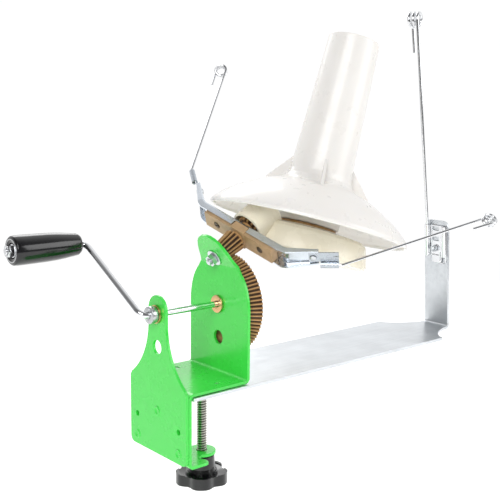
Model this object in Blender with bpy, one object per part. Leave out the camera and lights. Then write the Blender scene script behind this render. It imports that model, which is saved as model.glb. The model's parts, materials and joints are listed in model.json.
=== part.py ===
"""Table-clamped ball winder: sheet-steel bracket, bent crank, bevel gear train, flyer and tilted
winding cone.

Everything is laid out in millimetres in the shaft frame (origin in the front bearing, +X along the
crank shaft towards the tail strip, +Z up) and placed in the world in metres, where the origin is the
middle of the face that rests on the table top.
"""
import math

import bmesh
import bpy
from mathutils import Matrix, Vector

MM = 0.001
GAP = 0.3                      # play between pieces that touch

# ---- sheet-metal bracket -------------------------------------------------------------------
SHEET = 3.0
PLATE_WIDTH = 88.0
PLATE_SPACING = 69.0           # from the front face to the rear plate's near face
PLATE_FOOT_Z = -130.0
SHOULDER_Z = -63.5
NECK_HALF = 13.5
NECK_TOP_Z = 16.9
NECK_FILLET = 64.8
PLATFORM_TOP_Z = -64.0
REAR_HALF = 43.5
REAR_TOP_Z = 37.2              # bend line of the flyer tab
TAB_HALF = 24.6
TAB_LENGTH = 32.0
LIP_REACH = 26.5
SCREW_X = 38.0                 # clamp screw
SCREW_Y = -16.0
TONGUE_RADIUS = 13.0
ORIGIN = Vector((38.0, 0.0, PLATFORM_TOP_Z - 2 * SHEET - GAP))

# ---- crank -----------------------------------------------------------------------------------
ROD_RADIUS = 3.0
CRANK_THROW = 109.0
CRANK_ANGLE = math.radians(28.9)
ARM_X = -16.0
ROD_BEND = 6.0
GRIP_FREE_X = -91.0
SHAFT_END_X = 101.0

# ---- bevel stage 1: shaft to flyer -----------------------------------------------------------
FLYER_TILT = math.radians(31.0)
APEX_X = -9.0
DRIVE_TEETH = 74
LOW_TEETH = 15
DRIVE_SLANT = 104.4            # apex to the large end of the teeth
DRIVE_FACE = 12.0

# ---- flyer -----------------------------------------------------------------------------------
STUB_RADIUS = 3.0              # the axle's thread through the tab
FLYER_TURN = math.radians(23.8)
BAR_S = 117.5                  # distances along the flyer axis from the apex
BAR_HALF = 42.0
CHANNEL_S = 128.0
CHANNEL_HALF = 51.0
CHANNEL_WIDTH = 22.0
CHANNEL_SHEET = 2.0
CHANNEL_FLANGE = 8.0
ARM_END = (74.8, 145.6)
TONGUE_END = (91.0, 154.2)
EYES = (Vector((167.1, 13.6, 284.7)), Vector((172.9, 17.2, 282.8)))   # near, far; in the flyer's frame
EYE_AXIS = Vector((0.09, 0.68, -0.73))  # axis of the near wire's eyelet coil
EYE_TURNS = 2.5
EYE_PITCH = -3.2
WIRE_RADIUS = 1.25
WIRE_OFFSET = 8.0
EYE_RADIUS = 5.8
EYE_TAIL = 22.0

# ---- bevel stage 2: flyer to cone ------------------------------------------------------------
CONE_TILT = math.radians(18.0)
FLANGE_X = 182.6
FLANGE_Z = 66.8
HIGH_TEETH = 13
CONE_TEETH = 79
CONE_SLANT = 102.0
CONE_FACE = 10.0

# ---- winding cone ----------------------------------------------------------------------------
FLANGE_RADIUS = 100.4
TUBE_TOP_H = 190.0
GUSSETS = 4
GUSSET_ANGLE = math.radians(230.0)

# ---- tail strip ------------------------------------------------------------------------------
STRIP_HALF = 46.8
STRIP_SHOULDER_X = 346.0
UPRIGHT_X = 395.0
UPRIGHT_HALF = 16.4
UPRIGHT_TOP_Z = 55.0
UPRIGHT_LEAN = math.radians(3.6)  # the upright leans towards the cone
GUIDE_EYE = (356.7, 19.6, 276.6)
GUIDE_WIRE_RADIUS = 1.75
GUIDE_EYE_RADIUS = 7.6
GUIDE_EYE_PITCH = 5.0
GUIDE_TAIL = 36.0
GUIDE_EYE_AXIS = Vector((-0.276, 0.963, 0.0))
GUIDE_BARREL_Y = 10.0          # barrel that holds the wire
OPEN_BARREL_Y = -14.0
BARREL_RADIUS = 3.25
CLAMP_RADIUS = 4.6             # over the clamp screw's threads
PAD_GAP = 2.3                  # between the swivel pad and the strip with the clamp closed
PAD_THICK = 5.5
KNOB_LOBES = 5
KNOB_RADIUS = 24.3
KNOB_VALLEY = 4.2
KNOB_TURN = math.radians(-127)

MATERIALS = {
    "green_paint": ((0.05, 0.75, 0.08), 0.3, 0.0),
    "chrome": ((0.75, 0.76, 0.78), 0.15, 1.0),
    "zinc_steel": ((0.62, 0.65, 0.68), 0.35, 1.0),
    "brass": ((0.72, 0.5, 0.2), 0.35, 1.0),
    "brown_nylon": ((0.33, 0.16, 0.05), 0.45, 0.0),
    "ivory_plastic": ((0.86, 0.84, 0.79), 0.3, 0.0),
    "black_plastic": ((0.015, 0.015, 0.017), 0.3, 0.0),
}


# ================================ frames and placing ========================================
def frame_matrix(x_axis, y_axis, z_axis, origin):
    matrix = Matrix((x_axis, y_axis, z_axis)).transposed().to_4x4()
    matrix.translation = origin
    return matrix


AXIS_F = Vector((math.cos(FLYER_TILT), 0, math.sin(FLYER_TILT)))
DOWN_F = Vector((math.sin(FLYER_TILT), 0, -math.cos(FLYER_TILT)))
APEX = Vector((APEX_X, 0, 0))
BAR_DIR = Vector((0, -1, 0)) * math.cos(FLYER_TURN) + DOWN_F * math.sin(FLYER_TURN)
FLYER = frame_matrix(BAR_DIR, AXIS_F.cross(BAR_DIR), AXIS_F, APEX)
AXLE = frame_matrix(DOWN_F, AXIS_F.cross(DOWN_F), AXIS_F, APEX)
AXIS_C = Vector((math.sin(CONE_TILT), 0, math.cos(CONE_TILT)))
SIDE_C = Vector((math.cos(CONE_TILT), 0, -math.sin(CONE_TILT)))
FLANGE = Vector((FLANGE_X, 0, FLANGE_Z))
CONE = frame_matrix(SIDE_C, Vector((0, 1, 0)), AXIS_C, FLANGE)
SHAFT = frame_matrix(Vector((0, 1, 0)), Vector((0, 0, 1)), Vector((1, 0, 0)), Vector((0, 0, 0)))


def meeting_point():
    """Distances from the two origins to the point where the flyer and cone axes cross."""
    det = AXIS_F.x * -AXIS_C.z + AXIS_C.x * AXIS_F.z
    dx = FLANGE.x - APEX.x
    dz = FLANGE.z - APEX.z
    along_f = (dx * -AXIS_C.z + AXIS_C.x * dz) / det
    return along_f, (APEX + AXIS_F * along_f - FLANGE).dot(AXIS_C)


MEET_S, MEET_H = meeting_point()
SHAFT_ANGLE_2 = math.pi / 2 - CONE_TILT - FLYER_TILT


def pitch_angle(shaft_angle, teeth, other_teeth):
    """Pitch cone half-angle of the gear with `teeth` teeth in a bevel pair."""
    return math.atan2(math.sin(shaft_angle), other_teeth / teeth + math.cos(shaft_angle))


def material(name):
    found = bpy.data.materials.get(name)
    if found:
        return found
    colour, roughness, metallic = MATERIALS[name]
    made = bpy.data.materials.new(name)
    made.use_nodes = True
    shader = made.node_tree.nodes["Principled BSDF"]
    shader.inputs["Base Color"].default_value = (*colour, 1.0)
    shader.inputs["Roughness"].default_value = roughness
    shader.inputs["Metallic"].default_value = metallic
    made.diffuse_color = (*colour, 1.0)
    return made


def place(name, bm, finish, matrix=Matrix.Identity(4), pivot=None):
    """Turn a mesh in millimetres into a named object whose origin is at the pivot."""
    pivot = pivot if pivot is not None else ORIGIN
    bm.transform(matrix)
    for vert in bm.verts:
        vert.co = (vert.co - pivot) * MM
    bmesh.ops.recalc_face_normals(bm, faces=bm.faces)
    mesh = bpy.data.meshes.new(name)
    bm.to_mesh(mesh)
    bm.free()
    mesh.shade_smooth()
    mesh.set_sharp_from_angle(angle=math.radians(35))
    obj = bpy.data.objects.new(name, mesh)
    bpy.context.scene.collection.objects.link(obj)
    obj.location = (pivot - ORIGIN) * MM
    if finish:
        mesh.materials.append(material(finish))
    return obj


def combine(target, cutter, operation):
    """Boolean with a hidden cutter or an added shape."""
    cutter.hide_render = True
    cutter.display_type = "WIRE"
    modifier = target.modifiers.new(cutter.name, "BOOLEAN")
    modifier.operation = operation
    modifier.object = cutter
    modifier.solver = "EXACT"


# ================================ mesh makers ===============================================
def add_ring(bm, points):
    return [bm.verts.new(point) for point in points]


def bridge(bm, ring_a, ring_b):
    count = len(ring_a)
    for i in range(count):
        j = (i + 1) % count
        if len(ring_b) == 1:
            bm.faces.new((ring_a[i], ring_a[j], ring_b[0]))
        elif len(ring_a) == 1:
            bm.faces.new((ring_a[0], ring_b[j], ring_b[i]))
        else:
            bm.faces.new((ring_a[i], ring_a[j], ring_b[j], ring_b[i]))


def lathe(profile, segments, closed=False):
    """Turned solid about +Z from (radius, height) points; a radius of 0 is a pole."""
    bm = bmesh.new()
    rings = []
    for radius, height in profile:
        if radius == 0:
            rings.append([bm.verts.new((0, 0, height))])
            continue
        angles = [2 * math.pi * i / segments for i in range(segments)]
        rings.append(add_ring(bm, [(radius * math.cos(a), radius * math.sin(a), height) for a in angles]))
    pairs = list(zip(rings, rings[1:]))
    if closed:
        pairs.append((rings[-1], rings[0]))
    for ring_a, ring_b in pairs:
        if len(ring_a) == 1:
            count = len(ring_b)
            for i in range(count):
                bm.faces.new((ring_a[0], ring_b[(i + 1) % count], ring_b[i]))
        else:
            bridge(bm, ring_a, ring_b)
    return bm


def cylinder(radius, z0, z1, segments):
    return lathe([(0, z0), (radius, z0), (radius, z1), (0, z1)], segments)


def ring_solid(inner, outer, z0, z1, segments):
    return lathe([(inner, z0), (outer, z0), (outer, z1), (inner, z1)], segments, closed=True)


def prism(outline, z0, z1):
    """Straight extrusion of an outline in the XY plane."""
    bm = bmesh.new()
    low = add_ring(bm, [(x, y, z0) for x, y in outline])
    high = add_ring(bm, [(x, y, z1) for x, y in outline])
    bridge(bm, low, high)
    bm.faces.new(low)
    bm.faces.new(high)
    return bm


def loft(sections):
    """Closed solid through sections of equal point count, capped at both ends."""
    bm = bmesh.new()
    rings = [add_ring(bm, section) for section in sections]
    for ring_a, ring_b in zip(rings, rings[1:]):
        bridge(bm, ring_a, ring_b)
    bm.faces.new(rings[0])
    bm.faces.new(rings[-1])
    return bm


def box(low, high):
    outline = [(low[0], low[1]), (high[0], low[1]), (high[0], high[1]), (low[0], high[1])]
    return prism(outline, low[2], high[2])


def hexagon(across_flats, z0, z1, bore=0.0):
    """Hex nut about +Z; without a bore it is a plain hexagonal head."""
    corner = across_flats / math.sqrt(3)
    sides = 12 if bore else 6
    outline = []
    for i in range(sides):
        angle = 2 * math.pi * i / sides
        radius = corner if i % (sides // 6) == 0 else across_flats / 2
        outline.append((radius * math.cos(angle), radius * math.sin(angle)))
    if not bore:
        return prism(outline, z0, z1)
    bm = bmesh.new()
    hole = [(bore * math.cos(2 * math.pi * i / sides), bore * math.sin(2 * math.pi * i / sides))
            for i in range(sides)]
    rings = [add_ring(bm, [(x, y, z) for x, y in loop])
             for loop, z in ((outline, z0), (outline, z1), (hole, z1), (hole, z0))]
    for ring_a, ring_b in zip(rings, rings[1:] + rings[:1]):
        bridge(bm, ring_a, ring_b)
    return bm


def arc(centre, radius, start, end, steps):
    """Points on an arc in the plane, angles in degrees, both ends included."""
    points = []
    for i in range(steps + 1):
        angle = math.radians(start + (end - start) * i / steps)
        points.append((centre[0] + radius * math.cos(angle), centre[1] + radius * math.sin(angle)))
    return points


def mirrored(points):
    """Outline of a shape symmetric about the first coordinate, from its positive half."""
    return points + [(-y, z) for y, z in reversed(points)]


def wire(name, points, radius, finish, resolution, pivot=None):
    """Round bar through points in millimetres, as a bevelled curve."""
    pivot = pivot if pivot is not None else ORIGIN
    curve = bpy.data.curves.new(name, "CURVE")
    curve.dimensions = "3D"
    curve.bevel_depth = radius * MM
    curve.bevel_resolution = resolution
    curve.use_fill_caps = True
    curve.render_resolution_u = 0
    spline = curve.splines.new("POLY")
    spline.points.add(len(points) - 1)
    for slot, point in zip(spline.points, points):
        slot.co = (*((Vector(point) - pivot) * MM), 1.0)
    curve.materials.append(material(finish))
    obj = bpy.data.objects.new(name, curve)
    bpy.context.scene.collection.objects.link(obj)
    obj.location = (pivot - ORIGIN) * MM
    return obj


# ================================ bevel gears ===============================================
PRESSURE = math.radians(20)
TOOTH_THICKNESS = 0.80         # share of half a pitch, the rest is backlash
ROOT_DEPTH = 1.2


def involute(angle):
    return math.tan(angle) - angle


def tooth_half_angle(teeth, delta, offset):
    """Half the tooth's angle about the gear axis, `offset` modules outside the pitch line."""
    virtual = teeth / math.cos(delta) / 2
    base = virtual * math.cos(PRESSURE)
    radius = virtual + offset
    half = TOOTH_THICKNESS * math.pi / (4 * virtual) + involute(PRESSURE)
    half -= involute(math.acos(min(1.0, base / radius)))
    return half * radius / (teeth / 2 + offset * math.cos(delta))


def toothed_ring(teeth, delta, slant, offsets, first_angle):
    """Points of one toothed section: apex at z = 0, the axis along +Z, opening towards +Z."""
    radius = slant * math.sin(delta)
    module = 2 * radius / teeth
    points = []
    for tooth in range(teeth):
        centre = first_angle + 2 * math.pi * tooth / teeth
        for side, order in ((-1, offsets), (1, tuple(reversed(offsets)))):
            for offset in order:
                r = radius + offset * module * math.cos(delta)
                z = slant * math.cos(delta) - offset * module * math.sin(delta)
                angle = centre + side * tooth_half_angle(teeth, delta, offset)
                points.append((r * math.cos(angle), r * math.sin(angle), z))
    return points


def bevel_pinion(teeth, delta, near, far, first_angle):
    """Solid pinion between two slant distances from the apex."""
    offsets = (-ROOT_DEPTH, 0.0, 0.85)
    return loft([toothed_ring(teeth, delta, slant, offsets, first_angle) for slant in (near, far)])


def bevel_wheel(teeth, delta, near, far, first_angle, body):
    """Toothed rim closed by a turned body; `body` runs from the far end round to the near end.

    The body's rings have one point for each tooth space, so each tooth space fans onto one edge.
    """
    offsets = (-ROOT_DEPTH, 0.8)
    bm = bmesh.new()
    near_ring = add_ring(bm, toothed_ring(teeth, delta, near, offsets, first_angle))
    far_ring = add_ring(bm, toothed_ring(teeth, delta, far, offsets, first_angle))
    bridge(bm, near_ring, far_ring)
    rings = []
    for radius, z in body:
        rings.append(add_ring(bm, [(radius * math.cos(first_angle + 2 * math.pi * (i - 0.5) / teeth),
                                    radius * math.sin(first_angle + 2 * math.pi * (i - 0.5) / teeth), z)
                                   for i in range(teeth)]))
    for ring_a, ring_b in zip(rings, rings[1:]):
        bridge(bm, ring_a, ring_b)
    per_tooth = 2 * len(offsets)
    for toothed, inner in ((far_ring, rings[0]), (near_ring, rings[-1])):
        for i in range(teeth):
            tooth = toothed[i * per_tooth:(i + 1) * per_tooth]
            nxt = toothed[(i + 1) % teeth * per_tooth]
            bm.faces.new([inner[i], *tooth, inner[(i + 1) % teeth]])
            bm.faces.new([tooth[-1], nxt, inner[(i + 1) % teeth]])
    return bm


# ================================ bracket ===================================================
def bearing_plate():
    fillet_centre = NECK_HALF + NECK_FILLET
    half = [(0.0, NECK_TOP_Z)]
    half += arc((0, NECK_TOP_Z - NECK_HALF), NECK_HALF, 67.5, 0, 3)
    half += arc((fillet_centre, -8.0), NECK_FILLET, 180, 236, 6)
    half += [(PLATE_WIDTH / 2, SHOULDER_Z)]
    half += arc((PLATE_WIDTH / 2 - 5, PLATE_FOOT_Z + 5), 5, 0, -90, 3)
    outline = half + [(-y, z) for y, z in reversed(half[1:])]
    plate = place("bearing_plate", prism(outline, 0, SHEET), "green_paint", SHAFT)
    holes = [(0, 0, 4.9, 16), (0, -30.2, 6.4, 16)]
    holes += [(side * 32.6, -100.3, 2.6, 10) for side in (-1, 1)]
    for index, (y, z, radius, sides) in enumerate(holes):
        shift = SHAFT @ Matrix.Translation((y, z, 0))
        cutter = place(f"plate_hole_{index}", cylinder(radius, -5, SHEET + 5, sides), None, shift)
        combine(plate, cutter, "DIFFERENCE")


def lip_outline():
    """Clamp lip seen from above, with the tongue round the clamp screw."""
    edge = PLATE_WIDTH / 2
    front = SHEET + GAP
    tongue = (SCREW_X, SCREW_Y)
    outline = [(front, edge), (front, -edge), (LIP_REACH - 3, -edge), (LIP_REACH, -edge + 3)]
    outline += [(LIP_REACH, -edge + 6.5), (LIP_REACH - 2, -edge + 10), (LIP_REACH - 2.2, -edge + 13.5)]
    outline += arc(tongue, TONGUE_RADIUS, -125, 96, 10)
    outline += [(SCREW_X - 12, SCREW_Y + TONGUE_RADIUS + 3), (LIP_REACH - 5, 8), (LIP_REACH - 6, 14)]
    outline += [(LIP_REACH - 6, edge - 3), (LIP_REACH - 9, edge)]
    return outline


def rear_outline():
    """Rear plate in (y, z), from the platform up to the tab's bend line."""
    half = [(REAR_HALF, PLATFORM_TOP_Z - SHEET), (REAR_HALF, -3.0), (42.6, 8.0), (40.2, 17.5)]
    half += [(36.4, 25.5), (31.0, 32.0), (TAB_HALF + 1.5, REAR_TOP_Z)]
    return mirrored(half)


def tab_outline():
    """Bent-back tab in (y, length from the bend)."""
    half = [(TAB_HALF + 1.5, 0.0), (TAB_HALF - 2, 8.5), (19.0, 18.5), (15.0, 25.0)]
    half += [(9.0, 29.5), (3.0, TAB_LENGTH)]
    return mirrored(half)


def main_bracket():
    front = SHEET + GAP
    edge = PLATE_WIDTH / 2
    lip_top = PLATE_FOOT_Z
    wall = place("main_bracket", box((front, -edge, lip_top - SHEET), (front + SHEET, edge, PLATFORM_TOP_Z)),
                 "green_paint")
    lip = place("bracket_lip", prism(lip_outline(), lip_top - SHEET, lip_top), None)
    combine(wall, lip, "UNION")
    platform = [(front, -edge), (PLATE_SPACING + SHEET, -REAR_HALF), (PLATE_SPACING + SHEET, REAR_HALF),
                (front, edge)]
    deck = place("bracket_deck", prism(platform, PLATFORM_TOP_Z - SHEET, PLATFORM_TOP_Z), None)
    combine(wall, deck, "UNION")
    rear = prism(rear_outline(), PLATE_SPACING, PLATE_SPACING + SHEET)
    combine(wall, place("bracket_rear", rear, None, SHAFT), "UNION")
    bend = Vector((PLATE_SPACING, 0, REAR_TOP_Z))
    tab_frame = frame_matrix(Vector((0, 1, 0)), -DOWN_F, Vector((0, 1, 0)).cross(-DOWN_F), bend)
    tab_frame = tab_frame @ Matrix.Translation((0, -0.5, 0))
    tab = place("bracket_tab", prism(tab_outline(), 0, SHEET), None, tab_frame)
    combine(wall, tab, "UNION")
    cut = place("bracket_axle_hole", cylinder(STUB_RADIUS + 0.3, 75, 100, 16), None, AXLE)
    combine(wall, cut, "DIFFERENCE")
    for index, (y, z, radius) in enumerate(((0, 0, 4.9), (0, -32.0, 6.4))):
        shift = SHAFT @ Matrix.Translation((y, z, 0))
        low = PLATE_SPACING - 5
        cut = place(f"bracket_rear_hole_{index}", cylinder(radius, low, low + 12, 16), None, shift)
        combine(wall, cut, "DIFFERENCE")
    cut = place("bracket_screw_hole", cylinder(CLAMP_RADIUS + 0.35, lip_top - 8, lip_top + 5, 16), None,
                Matrix.Translation((SCREW_X, SCREW_Y, 0)))
    combine(wall, cut, "DIFFERENCE")
    for index, side in enumerate((-1, 1)):
        cut = place(f"bracket_strip_hole_{index}", cylinder(2.6, -80, -50, 12), None,
                    Matrix.Translation((43.5, side * 30.8, 0)))
        combine(wall, cut, "DIFFERENCE")


def bushing(name, flange_side, plate_x):
    """Flanged plain bearing; the flange stands on the plate's -X or +X face."""
    bore = ROD_RADIUS + 0.15
    near = plate_x - GAP if flange_side < 0 else plate_x + SHEET + GAP
    flange_end = near + 2.2 * flange_side
    tail = plate_x + SHEET + 1.5 if flange_side < 0 else plate_x - 1.5
    profile = [(bore, flange_end), (8.3, flange_end), (8.3, near), (4.5, near), (4.5, tail), (bore, tail)]
    place(name, lathe(profile, 20, closed=True), "brass", SHAFT)


# ================================ crank =====================================================
def crank_points():
    """Centre line of the bent rod from the gear end to the grip end."""
    out = Vector((0, math.cos(CRANK_ANGLE), math.sin(CRANK_ANGLE)))
    back = Vector((-1, 0, 0))
    points = [Vector((SHAFT_END_X, 0, 0))]
    corner = Vector((ARM_X, 0, 0))
    for centre, start, end in ((corner - back * ROD_BEND + out * ROD_BEND, -out, back),
                               (corner + out * (CRANK_THROW - ROD_BEND) + back * ROD_BEND, -back, out)):
        for i in range(6):
            angle = math.pi / 2 * i / 5
            points.append(centre + (start * math.cos(angle) + end * math.sin(angle)) * ROD_BEND)
    points.append(corner + out * CRANK_THROW + Vector((GRIP_FREE_X - 5.5 - ARM_X, 0, 0)))
    return points


def crank():
    pivot = Vector((0, 0, 0))
    wire("crank_rod", crank_points(), ROD_RADIUS, "chrome", 3, pivot)
    place("retaining_collar", ring_solid(ROD_RADIUS + 0.15, 7.8, -9.0, -2.9, 20), "chrome", SHAFT, pivot)
    place("drive_gear_nut", hexagon(10, 92.5, 98, ROD_RADIUS + 0.2), "zinc_steel", SHAFT, pivot)
    place("drive_gear_washer", ring_solid(ROD_RADIUS + 0.2, 6.5, 91.0, 92.2, 16), "zinc_steel", SHAFT, pivot)


def drive_gear():
    delta = pitch_angle(FLYER_TILT, DRIVE_TEETH, LOW_TEETH)
    near = DRIVE_SLANT - DRIVE_FACE
    far_z = DRIVE_SLANT * math.cos(delta)
    near_z = near * math.cos(delta)
    bore = ROD_RADIUS + 0.2
    body = [(41.0, far_z - 0.5), (38.5, far_z - 3.5), (11.5, far_z - 3.5), (10.5, far_z + 5.0)]
    body += [(bore, far_z + 5.0), (bore, near_z + 0.3), (10.5, near_z + 0.3), (11.5, near_z + 3.0)]
    body += [(35.5, near_z + 3.0)]
    wheel = bevel_wheel(DRIVE_TEETH, delta, near, DRIVE_SLANT, math.pi / 2, body)
    frame = SHAFT.copy()
    frame.translation = APEX
    place("drive_gear", wheel, "brown_nylon", frame, Vector((0, 0, 0)))


def grip():
    out = Vector((0, math.cos(CRANK_ANGLE), math.sin(CRANK_ANGLE))) * CRANK_THROW
    frame = frame_matrix(Vector((0, 1, 0)), Vector((0, 0, 1)), Vector((1, 0, 0)), out)
    free = GRIP_FREE_X
    root = ARM_X - ROD_BEND - 0.8
    bore = ROD_RADIUS + 0.3
    profile = [(bore, free + 3), (6.5, free + 3), (9.5, free), (12.2, free), (13.5, free + 1.2)]
    profile += [(13.8, free + 4)]
    profile += [(13.6, free + 22), (13.2, free + 41), (11.6, free + 56), (10.2, root - 3), (9.2, root - 0.8)]
    profile += [(7.6, root), (bore, root)]
    place("handle_grip", lathe(profile, 24, closed=True), "black_plastic", frame, out)
    centre = Vector((0, 0, 0))
    place("grip_washer", ring_solid(bore, 6.2, free + 1.2, free + 2.5, 16), "chrome", frame, centre)
    place("grip_nut", hexagon(10, free - 4.6, free + 0.9, bore), "chrome", frame, centre)


# ================================ flyer =====================================================
def flyer_axle():
    end = STUB_RADIUS
    profile = [(0, 77.0), (end - 0.5, 77.0), (end, 77.5), (end, 89.2), (4.0, 89.2), (4.0, 168.5), (0, 168.5)]
    place("flyer_axle", lathe(profile, 16), "zinc_steel", AXLE)
    place("axle_nut", hexagon(10, 79.4, 84.3, end + 0.15), "zinc_steel", AXLE)
    place("axle_washer", ring_solid(end + 0.2, 8.0, 84.6, 85.7, 20), "zinc_steel", AXLE)
    place("axle_spacer", ring_solid(4.3, 6.0, 89.4, 95.5, 20), "brass", AXLE)
    place("case_nut", hexagon(13, 162.0, 167.0, 4.15), "zinc_steel", AXLE)


def flyer_hub():
    low_delta = pitch_angle(FLYER_TILT, LOW_TEETH, DRIVE_TEETH)
    turned = FLYER.to_3x3()
    towards_gear = math.atan2(turned.col[1].dot(DOWN_F), turned.col[0].dot(DOWN_F))
    half_pitch = math.pi / LOW_TEETH
    scale = 1 / math.cos(low_delta)
    low = bevel_pinion(LOW_TEETH, low_delta, 96.0 * scale, 114.0 * scale, towards_gear + half_pitch)
    hub = place("flyer_hub", low, "brown_nylon", FLYER, APEX)
    shapes = [("hub_shoulder", cylinder(8.5, 112.0, BAR_S + 1, 20), FLYER)]
    inner = CHANNEL_WIDTH / 2 - CHANNEL_SHEET - GAP
    top = CHANNEL_S - CHANNEL_SHEET - GAP
    bar = [(-BAR_HALF, -inner + 2), (-BAR_HALF + 2, -inner), (BAR_HALF - 2, -inner), (BAR_HALF, -inner + 2),
           (BAR_HALF, inner - 2), (BAR_HALF - 2, inner), (-BAR_HALF + 2, inner), (-BAR_HALF, inner - 2)]
    shapes.append(("hub_bar", prism(bar, BAR_S, top), FLYER))
    outer = CHANNEL_WIDTH / 2
    shapes.append(("hub_boss", box((-8.5, -outer, BAR_S), (8.5, outer, top)), FLYER))
    shapes.append(("hub_neck", cylinder(7.6, top - 1, 134.0, 20), FLYER))
    delta = pitch_angle(SHAFT_ANGLE_2, HIGH_TEETH, CONE_TEETH)
    scale = 1 / math.cos(delta)
    near = (MEET_S - 157.0) * scale
    far = (MEET_S - 131.5) * scale
    flip = FLYER @ Matrix.Translation((0, 0, MEET_S)) @ Matrix.Rotation(math.pi, 4, "X")
    first = -towards_gear + math.pi / HIGH_TEETH
    shapes.append(("hub_high_pinion", bevel_pinion(HIGH_TEETH, delta, near, far, first), flip))
    for name, bm, matrix in shapes:
        combine(hub, place(name, bm, None, matrix), "UNION")
    combine(hub, place("hub_bore", cylinder(4.25, 90, 165, 16), None, FLYER), "DIFFERENCE")
    for side in (-1, 1):
        cut = cylinder(1.9, BAR_S - 2, top + 2, 12)
        shift = FLYER @ Matrix.Translation((side * 27.0, 0, 0))
        combine(hub, place(f"hub_screw_hole_{side}", cut, None, shift), "DIFFERENCE")
        cut = cylinder(3.6, BAR_S - 2, BAR_S + 1.6, 12)
        combine(hub, place(f"hub_screw_seat_{side}", cut, None, shift), "DIFFERENCE")


def channel_section(point, out, width, flange):
    """U section across the strip: the web at the path, flanges along `out`."""
    half = width / 2
    sheet = CHANNEL_SHEET
    steps = [(-half, 0), (half, 0), (half, flange), (half - sheet, flange), (half - sheet, sheet),
             (-half + sheet, sheet), (-half + sheet, flange), (-half, flange)]
    return [(point[0] + out[0] * d, w, point[1] + out[1] * d) for w, d in steps]


def arm_direction():
    along = Vector((ARM_END[0] - CHANNEL_HALF, ARM_END[1] - CHANNEL_S))
    return along.normalized()


def flyer_channel():
    along = arm_direction()
    out = (along.y, -along.x)
    bisector = Vector((out[0], out[1] - 1)).normalized()
    stretch = 1 / bisector.dot(Vector((0, -1)))
    mitre = tuple(bisector * stretch)
    stations = [(ARM_END, out, 18.0, 4.5), ((CHANNEL_HALF, CHANNEL_S), mitre, CHANNEL_WIDTH, CHANNEL_FLANGE)]
    sections = [channel_section(*station) for station in stations]
    left = [[(-x, y, z) for x, y, z in section] for section in reversed(sections)]
    channel = place("flyer_channel", loft(sections + left), "zinc_steel", FLYER, APEX)
    cuts = [box((-8.8, -15, BAR_S - 5), (8.8, 15, CHANNEL_S - CHANNEL_SHEET)),
            cylinder(8.2, BAR_S, CHANNEL_S + 5, 20)]
    for index, bm in enumerate(cuts):
        combine(channel, place(f"channel_cut_{index}", bm, None, FLYER), "DIFFERENCE")
    for side in (-1, 1):
        cut = place(f"channel_screw_hole_{side}", cylinder(1.9, BAR_S, CHANNEL_S + 5, 12), None,
                    FLYER @ Matrix.Translation((side * 27.0, 0, 0)))
        combine(channel, cut, "DIFFERENCE")
        cut = place(f"channel_rivet_hole_{side}", cylinder(2.0, -5, 8, 12), None, clip_frame(side, 5.0))
        combine(channel, cut, "DIFFERENCE")


def clip_frame(side, distance):
    """Frame on an arm: x along the arm, y across, z out of the web; origin before the arm's end."""
    along = arm_direction()
    x_axis = Vector((along.x, 0, along.y))
    z_axis = Vector((along.y, 0, -along.x))
    origin = Vector((ARM_END[0], 0, ARM_END[1])) - x_axis * distance
    local = frame_matrix(x_axis, z_axis.cross(x_axis), z_axis, origin)
    turn = Matrix.Identity(4) if side > 0 else Matrix.Rotation(math.pi, 4, "Z")
    return FLYER @ turn @ local


def wire_clip(side, name):
    """Plate riveted inside the arm's end, with one edge rolled into a barrel for the wire."""
    frame = clip_frame(side, 0.0)
    low = CHANNEL_SHEET + GAP
    reach = math.dist(ARM_END, TONGUE_END)
    plate = box((-9.0, -WIRE_OFFSET + 2.2, low), (reach, 6.6, low + 1.4))
    clip = place(name, plate, "zinc_steel", frame, APEX)
    shift = Matrix.Translation((2.0, -WIRE_OFFSET, low + 1.6))
    barrel = frame @ shift @ Matrix.Rotation(math.pi / 2, 4, "Y")
    combine(clip, place(name + "_barrel", cylinder(2.5, 0, reach - 2.0, 12), None, barrel), "UNION")
    combine(clip, place(name + "_bore", cylinder(WIRE_RADIUS + 0.35, -5, reach + 5, 10), None, barrel),
            "DIFFERENCE")
    hole = frame @ Matrix.Translation((-5.0, 0, 0))
    combine(clip, place(name + "_hole", cylinder(2.0, 0, 8, 12), None, hole), "DIFFERENCE")


def rivet(side, name):
    profile = [(0, -1.6), (2.4, -1.2), (3.2, -GAP), (1.7, -GAP), (1.7, 4.0), (3.2, 4.0)]
    profile += [(2.4, 5.0), (0, 5.4)]
    place(name, lathe(profile, 12), "zinc_steel", clip_frame(side, 5.0), APEX)


def helix(centre, axis, start, radius, pitch, turns, per_turn):
    """Points of a coil about `axis`, starting at the direction `start`."""
    axis = axis.normalized()
    start = (start - axis * start.dot(axis)).normalized()
    other = axis.cross(start)
    points = []
    count = round(turns * per_turn)
    for i in range(count + 1):
        angle = 2 * math.pi * i / per_turn
        lift = axis * (pitch * i / per_turn)
        points.append(centre + (start * math.cos(angle) + other * math.sin(angle)) * radius + lift)
    return points


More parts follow.
